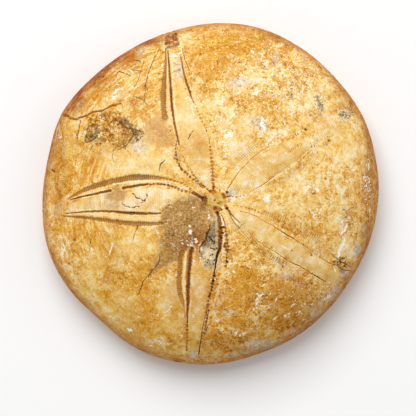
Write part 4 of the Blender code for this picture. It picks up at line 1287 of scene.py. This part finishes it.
class Painter:
    """Makes the nodes of one material, in coordinates of millimetres."""

    def __init__(self, material):
        material.use_nodes = True
        self.tree = material.node_tree
        self.shader = self.tree.nodes["Principled BSDF"]
        place = self.tree.nodes.new("ShaderNodeTexCoord").outputs["Object"]
        self.place = self.vector("SCALE", Field(place), scale=1.0 / MM)
        self.colour = None  # what is painted so far

    def vector(self, operation, *values, scale=None):
        node = self.tree.nodes.new("ShaderNodeVectorMath")
        node.operation = operation
        for place, value in zip(node.inputs, values):
            connect(value, place)
        if scale is not None:
            connect(scale, node.inputs["Scale"])
        return Field(node.outputs[0])

    def attribute(self, name):
        node = self.tree.nodes.new("ShaderNodeAttribute")
        node.attribute_name = name
        return Field(node.outputs["Fac"])

    def noise(self, scale, detail=2.0, roughness=0.5, shift=0.0, place=None, colour=False):
        """Noise about 0, mostly between -1 and 1, or a vector of it."""
        node = self.tree.nodes.new("ShaderNodeTexNoise")
        moved = self.vector("ADD", place or self.place, (shift, shift * 0.7, -shift))
        connect(moved, node.inputs["Vector"])
        node.inputs["Scale"].default_value = scale
        node.inputs["Detail"].default_value = detail
        node.inputs["Roughness"].default_value = roughness
        if colour:
            return self.vector("SUBTRACT", Field(node.outputs["Color"]), (0.5, 0.5, 0.5))
        return (Field(node.outputs["Fac"]) - 0.5) * 4.0

    def cells(self, scale, randomness=1.0, place=None, feature="F1"):
        """Distance to the nearest of scattered points, in cells."""
        node = self.tree.nodes.new("ShaderNodeTexVoronoi")
        node.feature = feature
        connect(place or self.place, node.inputs["Vector"])
        node.inputs["Scale"].default_value = scale
        node.inputs["Randomness"].default_value = randomness
        return Field(node.outputs["Distance"])

    def ramp(self, value, stops):
        node = self.tree.nodes.new("ShaderNodeValToRGB")
        elements = node.color_ramp.elements
        while len(elements) < len(stops):
            elements.new(0.5)
        for element, (place, colour) in zip(elements, stops):
            element.position = place
            element.color = linear(*colour)
        connect(value, node.inputs["Fac"])
        return Field(node.outputs["Color"])

    def mix(self, share, first, second, blend="MIX"):
        node = self.tree.nodes.new("ShaderNodeMix")
        node.data_type = "RGBA"
        node.blend_type = blend
        connect(share, node.inputs[0])
        for place, colour in ((node.inputs[6], first), (node.inputs[7], second)):
            connect(colour if isinstance(colour, Field) else linear(*colour), place)
        return Field(node.outputs[2])

    def tinted(self, colour, shade):
        """A colour multiplied by a shade."""
        return self.mix(1.0, colour, shade, "MULTIPLY")

    def cover(self, share, colour):
        """Lays a share of a colour over what is painted so far."""
        self.colour = self.mix(share, self.colour, colour)

    def tint(self, share, shade):
        """Multiplies what is painted so far by a shade, as far as the share goes."""
        self.cover(share, self.tinted(self.colour, shade))

    def stirred(self, scale, detail, shift, reach):
        """The place of each point, moved about by noise, some millimetres far."""
        push = self.vector("SCALE", self.noise(scale, detail, shift=shift, colour=True), scale=reach)
        return self.vector("ADD", self.place, push)

    def waves(self, along, period, field=None, share=0.0):
        """Waves between -1 and 1, a period in millimetres apart, made uneven by a share of a field."""
        turns = self.attribute(along) * (2.0 * math.pi / period)
        if field is not None:
            turns = turns + field * share
        return turns.math("SINE")


# ---- The stone ---------------------------------------------------------------------------------
CALCITE = (
    (0.0, (170, 98, 0)), (0.2, (208, 138, 8)), (0.4, (231, 170, 42)), (0.58, (239, 196, 96)),
    (0.76, (246, 216, 150)), (1.0, (254, 245, 220)),
)
ROW_COLOURS = ((0.0, (204, 122, 26)), (0.35, (150, 78, 10)), (0.62, (98, 38, 0)), (1.0, (30, 22, 14)))
BAND_COLOURS = ((0.0, (208, 148, 62)), (0.4, (160, 98, 22)), (0.62, (128, 82, 38)), (1.0, (62, 40, 20)))
SAND_COLOURS = (
    (0.0, (84, 58, 24)), (0.25, (140, 102, 50)), (0.5, (180, 138, 78)), (0.75, (208, 168, 110)),
    (1.0, (244, 226, 190)),
)
FILM_AND_SHEEN_COLOURS = ((0.0, (138, 122, 102)), (0.5, (206, 190, 164)), (1.0, (254, 252, 246)))
RUST_COLOURS = (
    (0.0, (96, 50, 2)), (0.35, (172, 106, 12)), (0.62, (212, 154, 48)), (0.85, (240, 208, 130)),
    (1.0, (252, 240, 202)),
)
WINDOW_COLOURS = (
    (0.0, (40, 42, 40)), (0.3, (112, 106, 92)), (0.6, (172, 158, 128)), (0.8, (216, 192, 142)),
    (1.0, (246, 228, 182)),
)
# From cream painted highlight to the golden colour of the ridges themselves
RIDGE_AND_HIGHLIGHT_COLOURS = ((0.0, (253, 236, 190)), (0.5, (247, 208, 132)), (1.0, (232, 166, 62)))
# Distances between stripes, in millimetres
GROWTH_LINE = 0.60
BAND_STRIPE = 0.52
NET_MESH = (0.58, 0.62)  # along and across
ROW_STRIPE = 0.50
BEAD_SPACING = 1.0
BLUE_TONES = (1.2, 1.8)  # a crack or spot turns greenish blue between these tones


def stone_material():
    """Polished calcite: cream and orange mottling under every kind of mark.

    The weights are shares, found beside the photo. Noise scales are for each millimetre, and
    each noise has a shift of its own so that no two look alike.
    """
    material = bpy.data.materials.new("polished_calcite")
    paint = Painter(material)
    get = paint.attribute
    pale, orange, olive_and_shade, grey_and_sheen = (get(name) for name in ("pale", "orange", "olive_and_shade", "grey_and_sheen"))
    warped = paint.stirred(0.30, 3.0, 0.0, 5.0)
    ruffled = paint.stirred(1.3, 2.0, 3.0, 1.3)
    clouds = paint.noise(0.055, 3.0, 0.55, 4.0, warped)
    patches = paint.noise(0.25, 4.0, 0.65, 9.0, warped)
    mottle = paint.noise(0.75, 3.0, 0.65, 2.0, ruffled)
    speckle = paint.noise(1.8, 2.0, 0.6, 6.0, ruffled)
    grain = paint.noise(2.1, 1.5, 0.5, 8.0)
    uneven = paint.noise(0.5, 4.0, 0.65, 21.0, warped)
    glass = (get("glass") + speckle * 0.3 + mottle * 0.6 + uneven * 0.5).above(-0.7, 1.0)
    cluster = paint.noise(0.32, 4.0, 0.65, 14.0, warped)
    calm = get("calm")
    busy = (cluster + orange * 1.3 - pale * 0.9 - glass * 1.2 - calm * 1.3 + 0.35).above(-0.6, 0.8)
    texture = clouds * 0.06 + patches * 0.42 + mottle * (0.22 + busy * 0.60)
    texture = texture + speckle * (0.10 + busy * 0.36) + grain * (0.07 + busy * 0.44)
    value = 0.55 + pale * 0.17 + glass * 0.08 - orange * 0.11 + texture
    paint.colour = paint.ramp(value, CALCITE)
    paint.cover(glass * 0.26, (242, 212, 162))
    yellow = (grain * 0.9 + speckle * 0.7 + 0.1).above(0.0, 0.5) * busy
    paint.tint(yellow * 0.4, (254, 238, 160))

    # Blotches with crisp edges, orange specks in clusters, and cream veins and crystals between them
    blotch = paint.noise(0.42, 5.0, 0.68, 81.0, ruffled) + cluster * 0.5 + orange * 0.7 - pale * 0.6 - glass
    blotch = blotch.above(0.24, 0.38)
    paint.cover(blotch * 0.66, paint.mix((speckle * 0.6 + 0.4).clamped(), (232, 172, 54), (204, 130, 8)))
    specks = speckle * 1.2 + cluster * 0.8 + mottle * 0.6 + orange * 0.6 - pale * 0.7 - glass * 0.9
    paint.cover(specks.above(0.48, 0.62) * 0.6, (208, 134, 6))
    dots = paint.noise(2.4, 2.0, 0.7, 17.0) * 1.3 + cluster * 0.5 + orange * 0.3 - pale * 0.3 - glass * 0.3
    dots = dots.above(0.70, 0.84)
    paint.cover(dots * 0.66, (170, 96, 4))
    hairs = paint.noise(1.15, 2.0, 0.6, 95.0, ruffled).math("ABSOLUTE").above(0.12, 0.03)
    paint.cover(hairs * (cluster * -1.0 + 0.3).above(0.0, 0.7) * (1.0 - glass) * 0.5, (254, 238, 196))
    veins = paint.noise(0.5, 3.0, 0.6, 91.0, ruffled).math("ABSOLUTE").above(0.10, 0.03) * busy
    paint.cover(veins * (cluster + 0.5).above(0.0, 0.9) * 0.55, (248, 216, 148))
    crystals = paint.noise(1.4, 3.0, 0.7, 23.0, ruffled) * 1.2 - cluster * 0.4 + pale * 0.2 - orange * 0.3
    crystals = (crystals - glass * 0.7).above(0.42, 0.56)
    paint.cover(crystals * 0.62, (253, 232, 178))

    # Orange and cream fibres that run round the apex
    away = paint.vector("MULTIPLY", paint.vector("SUBTRACT", paint.place, (*APEX, 0.0)), (1.0, 1.0, 0.0))
    outward = paint.vector("SCALE", (0.0, 0.0, 1.8), scale=get("ring"))
    polar = paint.vector("ADD", paint.vector("SCALE", paint.vector("NORMALIZE", away), scale=9.0), outward)
    fibres = paint.noise(0.8, 3.0, 0.6, 61.0, polar)
    streaks = get("streaks") * (fibres + mottle * 0.2 + speckle * 0.1).above(0.02, 0.36)
    paint.cover(streaks * 0.7, (208, 134, 20))
    pale_streaks = get("streaks") * (fibres * -1.0 + speckle * 0.2).above(0.06, 0.5)
    paint.cover(pale_streaks * 0.72, (252, 228, 170))
    paint.cover((pale * 0.25).clamped(), (240, 211, 162))

    # Greenish brown and grey stains. The brown ones also paint shade along the edge and towards the lower
    # right, the grey ones a greyish painted reflection along the right and lower right edge
    umber_and_shade = get("umber_and_shade") * (1.0 + uneven * 0.6)
    paint.tint(umber_and_shade.clamped(), (212, 164, 88))
    brown_and_shade = (olive_and_shade * 0.9 + uneven * 0.4 * olive_and_shade).clamped()
    paint.tint(brown_and_shade, (208, 182, 128))
    paint.tint(orange * 0.6, (252, 242, 160))
    # A grey film, and along the right and lower right edge a greyish painted reflection
    grey_veil_and_sheen = (grey_and_sheen + uneven * 0.5 * grey_and_sheen).above(0.25, 0.75)
    paint.cover(grey_veil_and_sheen * 0.7, paint.ramp(0.5 + speckle * 0.35 + mottle * 0.3, FILM_AND_SHEEN_COLOURS))

    # Rust, olive on its left side
    rust = (get("rust") + uneven * 1.1).above(-0.7, 0.8)
    stained = 0.37 + grey_and_sheen * 0.14 + mottle * 0.6 + speckle * 0.55 + grain * 0.2 + patches * 0.3
    rusty = paint.ramp(stained + get("rust") * 0.02, RUST_COLOURS)
    rusty = paint.mix(grey_and_sheen * 0.8, rusty, paint.tinted(rusty, (222, 228, 178)))
    paint.cover(rust * 0.78, rusty)
    tip = (get("tip") + uneven * 0.5).above(-0.5, 0.3)
    paint.cover(tip * 0.85, paint.tinted(rusty, (226, 206, 190)))

    # Sandy filling
    sandy = (get("sandy") + uneven * 0.8).above(-0.7, 0.6)
    sand_grain = 0.5 + speckle * 0.20 + grain * 0.26 + mottle * 0.14 + uneven * 0.18
    sand = paint.ramp(sand_grain, SAND_COLOURS)
    sand = paint.mix((patches * 0.9 + 0.1).clamped() * 0.45, sand, (196, 136, 48))
    haze = (get("haze") + uneven * 0.3 + speckle * 0.12).above(0.15, 0.95)
    paint.cover(haze * 0.8, paint.mix(0.3, sand, (160, 118, 60)))
    paint.cover(sandy * 0.7, paint.mix(0.55, sand, (226, 172, 104)))
    window = (get("window") + uneven * 1.3 + speckle * 0.5 - pale * 0.4).above(-0.6, 0.7)
    grime = 0.27 + pale * 0.60 + mottle * 0.45 + patches * 0.3 + speckle * 0.35
    paint.cover(window * 0.86, paint.ramp(grime, WINDOW_COLOURS))
    matrix = (get("matrix") + uneven * 1.3 + speckle * 0.4).above(-0.6, 0.8)
    sand = paint.mix(umber_and_shade.clamped(), sand, paint.tinted(sand, (200, 160, 110)))
    paint.cover(matrix * 0.92, sand)

    # White flecks: short scratches and crumbs, white partly of their own and partly as painted glints of the
    # lamps
    scratches = paint.noise(0.75, 2.0, 0.6, 51.0, ruffled).math("ABSOLUTE").above(0.09, 0.04)
    scratched = (paint.noise(0.6, 3.0, 0.7, 55.0) * 1.2 + get("white_flecks_and_glints") * 0.75).above(0.55, 0.75)
    white_crumbs_and_glints = (paint.noise(1.6, 2.0, 0.7, 31.0) * 1.2 + get("white_flecks_and_glints") * 0.85).above(1.05, 1.2)
    fleck_and_glint = (scratches * scratched).math("MAXIMUM", white_crumbs_and_glints)
    paint.cover(fleck_and_glint * 0.9, (255, 250, 236))
    # Chips and streaks: scratches painted white, partly as painted glints of the lamps
    chip = (get("chip") + speckle * 0.8 + grain * 0.5).above(-0.05, 0.3)
    paint.cover(chip * 0.9, (255, 248, 230))
    disc = (get("disc") + speckle * 0.2).above(-0.15, 0.2) * 0.75
    disc_colour = paint.tinted(paint.ramp(0.51 + speckle * 0.3 + mottle * 0.25, CALCITE), (228, 238, 255))
    paint.cover(disc, disc_colour)

    # Growth lines across the petals
    ring = paint.waves("ring", GROWTH_LINE, mottle, 1.2)
    lines = get("leaf") * ring.above(-0.2, 0.9) * (uneven + 0.3).above(-0.2, 0.9)
    paint.cover(lines * 0.32, (196, 128, 50))

    # Striped bands and netting
    stripes = paint.waves("band_along", BAND_STRIPE, speckle, 0.5)
    band = (get("band") + speckle * 0.35).above(-0.2, 0.3)
    band_edge = get("band").above(0.5, 0.05) * 0.16
    band_tone = get("band_tone") + stripes * 0.12 + band_edge + mottle * 0.25 + speckle * 0.1
    band_colour = paint.ramp(band_tone, BAND_COLOURS)
    paint.cover(band * (0.84 + stripes * 0.10), band_colour)
    net_along = paint.waves("net_along", NET_MESH[0], speckle, 0.3)
    net_across = paint.waves("net_across", NET_MESH[1])
    net = (get("net") + speckle * 0.3 + uneven * 0.5).above(-0.1, 0.5) * get("net_tone")
    netting = 0.10 + (net_along * 0.8 + net_across * 0.45).above(0.0, 0.7) * 0.8
    paint.cover((net * netting * 0.85).clamped(), (158, 98, 24))

    # Rows, with pale ridges beside them, partly painted highlights on the lips of the grooves
    ragged = speckle * 0.45 + grain * 0.4
    ridge = (get("ridge") + ragged).above(-0.2, 0.4)
    gold_and_highlight = paint.ramp(get("ridge_tone") + mottle * 0.2, RIDGE_AND_HIGHLIGHT_COLOURS)
    paint.cover(ridge * 0.75, gold_and_highlight)
    highlight_beside_rows = get("row").above(-1.9, -0.9) * get("row").above(0.0, -0.5)
    paint.cover(highlight_beside_rows * (uneven + 0.6).above(0.0, 0.9) * 0.5, (252, 230, 178))
    row_stripes = paint.waves("row_along", ROW_STRIPE, speckle, 0.5)
    row = (get("row") + ragged).above(-0.15, 0.35)
    row_tone = get("row_tone") + row_stripes * 0.10 + grain * 0.2 + mottle * 0.2 + get("row") * 0.08
    row_share = 0.72 + get("row_tone") * 0.28 + row_stripes * 0.06
    paint.cover((row * row_share).clamped(), paint.ramp(row_tone, ROW_COLOURS))
    bead_stripes = paint.waves("bead_along", BEAD_SPACING, mottle, 2.6)
    bead = (get("bead") + bead_stripes * 0.5 + ragged * 1.2 + mottle * 0.25).above(0.0, 0.4)
    bead_tone = get("bead_tone") + grain * 0.3 + mottle * 0.3 + bead_stripes * 0.1
    paint.cover(bead * 0.85, paint.ramp(bead_tone, ROW_COLOURS))
    rung = (get("rung") + ragged).above(-0.1, 0.4)
    paint.cover(rung * 0.8, paint.ramp(get("rung_tone") + grain * 0.2, ROW_COLOURS))
    below = (get("row_below") + ragged).above(-0.2, 0.4)
    paint.cover(below * 0.6, (132, 92, 46))

    # Cracks and spots
    crack = (get("crack") + ragged * 1.3 + uneven * 0.3).above(0.0, 0.45)
    teal = get("crack_tone").above(*BLUE_TONES)
    crack_colour = paint.mix(teal, paint.ramp(get("crack_tone") + grain * 0.3, ROW_COLOURS), (66, 68, 56))
    paint.cover(crack * 0.88, crack_colour)
    spot = (get("spot") + ragged).above(-0.2, 0.35)
    spot_colour = paint.ramp(get("spot_tone") + grain * 0.2, ROW_COLOURS)
    blue = get("spot_tone").above(*BLUE_TONES)
    spot_colour = paint.mix(blue, spot_colour, (112, 128, 118))
    paint.cover(spot * (0.9 - blue * 0.25), spot_colour)
    cell_edges = paint.cells(0.85, 1.0, ruffled, "DISTANCE_TO_EDGE").above(0.11, 0.05)
    netted = (get("dark_flecks") + uneven * 0.5).above(0.45, 0.6)
    dark_crumbs = (paint.noise(1.7, 2.0, 0.7, 41.0) * 1.2 + get("dark_flecks") * 0.8).above(1.08, 1.2)
    dark = (cell_edges * netted * speckle.above(-0.3, 0.2)).math("MAXIMUM", dark_crumbs)
    paint.cover(dark * 0.85, (56, 48, 34))

    # The edge tinted tan, painted shade where the flank turns away from the light, and the duller underside
    rim = get("rim") * (1.0 - get("below") * 0.55)
    paint.tint((rim * 0.8).clamped(), (218, 170, 84))

    shader = paint.shader
    connect(paint.colour, shader.inputs["Base Color"])
    dull = matrix * 0.3 + window * 0.1 + sandy * 0.15 + row * 0.2
    connect((0.30 + speckle * 0.04 + mottle * 0.04 + dull).clamped(), shader.inputs["Roughness"])
    shader.inputs["IOR"].default_value = 1.5
    shader.inputs["Specular IOR Level"].default_value = 0.0
    shader.inputs["Coat Weight"].default_value = 0.20
    shader.inputs["Coat Roughness"].default_value = 0.24
    tubercles = paint.cells(1.0, 0.8).above(0.45, 0.1) * get("below")
    height = speckle * 0.03 + grain * 0.02 + mottle * 0.02 + tubercles * 0.12 + matrix * grain * 0.08
    bumps = paint.tree.nodes.new("ShaderNodeBump")
    bumps.inputs["Distance"].default_value = MM
    bumps.inputs["Strength"].default_value = 0.6
    connect(height, bumps.inputs["Height"])
    connect(Field(bumps.outputs[0]), shader.inputs["Normal"])
    connect(Field(bumps.outputs[0]), shader.inputs["Coat Normal"])
    return material


# ---- Stage -------------------------------------------------------------------------------------
def add(name, data):
    thing = bpy.data.objects.new(name, data)
    bpy.context.collection.objects.link(thing)
    return thing


def add_floor():
    size = 3.0
    mesh = bpy.data.meshes.new("floor")
    corners = [(-size, -size, 0.0), (size, -size, 0.0), (size, size, 0.0), (-size, size, 0.0)]
    mesh.from_pydata(corners, [], [(0, 1, 2, 3)])
    material = bpy.data.materials.new("pale_floor")
    material.use_nodes = True
    shader = material.node_tree.nodes["Principled BSDF"]
    shader.inputs["Base Color"].default_value = (0.92, 0.92, 0.92, 1.0)
    shader.inputs["Roughness"].default_value = 0.9
    shader.inputs["Specular IOR Level"].default_value = 0.1
    mesh.materials.append(material)
    floor = add("floor", mesh)


def add_light(name, azimuth, elevation, size, power, distance=1.2):
    """A square soft light that faces the stone."""
    light = bpy.data.lights.new(name, "AREA")
    light.size = size
    light.energy = power
    lamp = add(name, light)
    turn, rise = math.radians(azimuth), math.radians(elevation)
    away = Vector((math.cos(turn) * math.cos(rise), math.sin(turn) * math.cos(rise), math.sin(rise)))
    lamp.location = away * distance
    lamp.rotation_euler = away.to_track_quat("Z", "Y").to_euler()


def add_lights():
    world = bpy.data.worlds.new("studio")
    world.use_nodes = True
    world.node_tree.nodes["Background"].inputs["Color"].default_value = (1.0, 1.0, 1.0, 1.0)
    world.node_tree.nodes["Background"].inputs["Strength"].default_value = 0.25
    bpy.context.scene.world = world
    add_light("key", 108.0, 56.0, 0.9, 13.0)
    add_light("fill", 5.0, 50.0, 1.2, 3.2)
    add_light("low_fill", 215.0, 45.0, 1.2, 1.2)


def add_camera():
    camera = add("camera", bpy.data.cameras.new("camera"))
    place, right, up, back = camera_axes()
    axes = np.column_stack((right, up, back, place * MM))
    camera.matrix_world = Matrix([*axes.tolist(), (0.0, 0.0, 0.0, 1.0)])
    camera.data.sensor_width = SENSOR
    camera.data.lens = SENSOR * CAMERA_DISTANCE / (PICTURE_PIXELS * PIXEL)
    camera.data.clip_start = 0.01
    bpy.context.scene.camera = camera


stone = add("fossil_stone", stone_mesh())
stone.data.materials.append(stone_material())
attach(stone, "root")
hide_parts(NODE)
add_floor()
add_lights()
add_camera()
bpy.context.scene.view_settings.view_transform = "Standard"
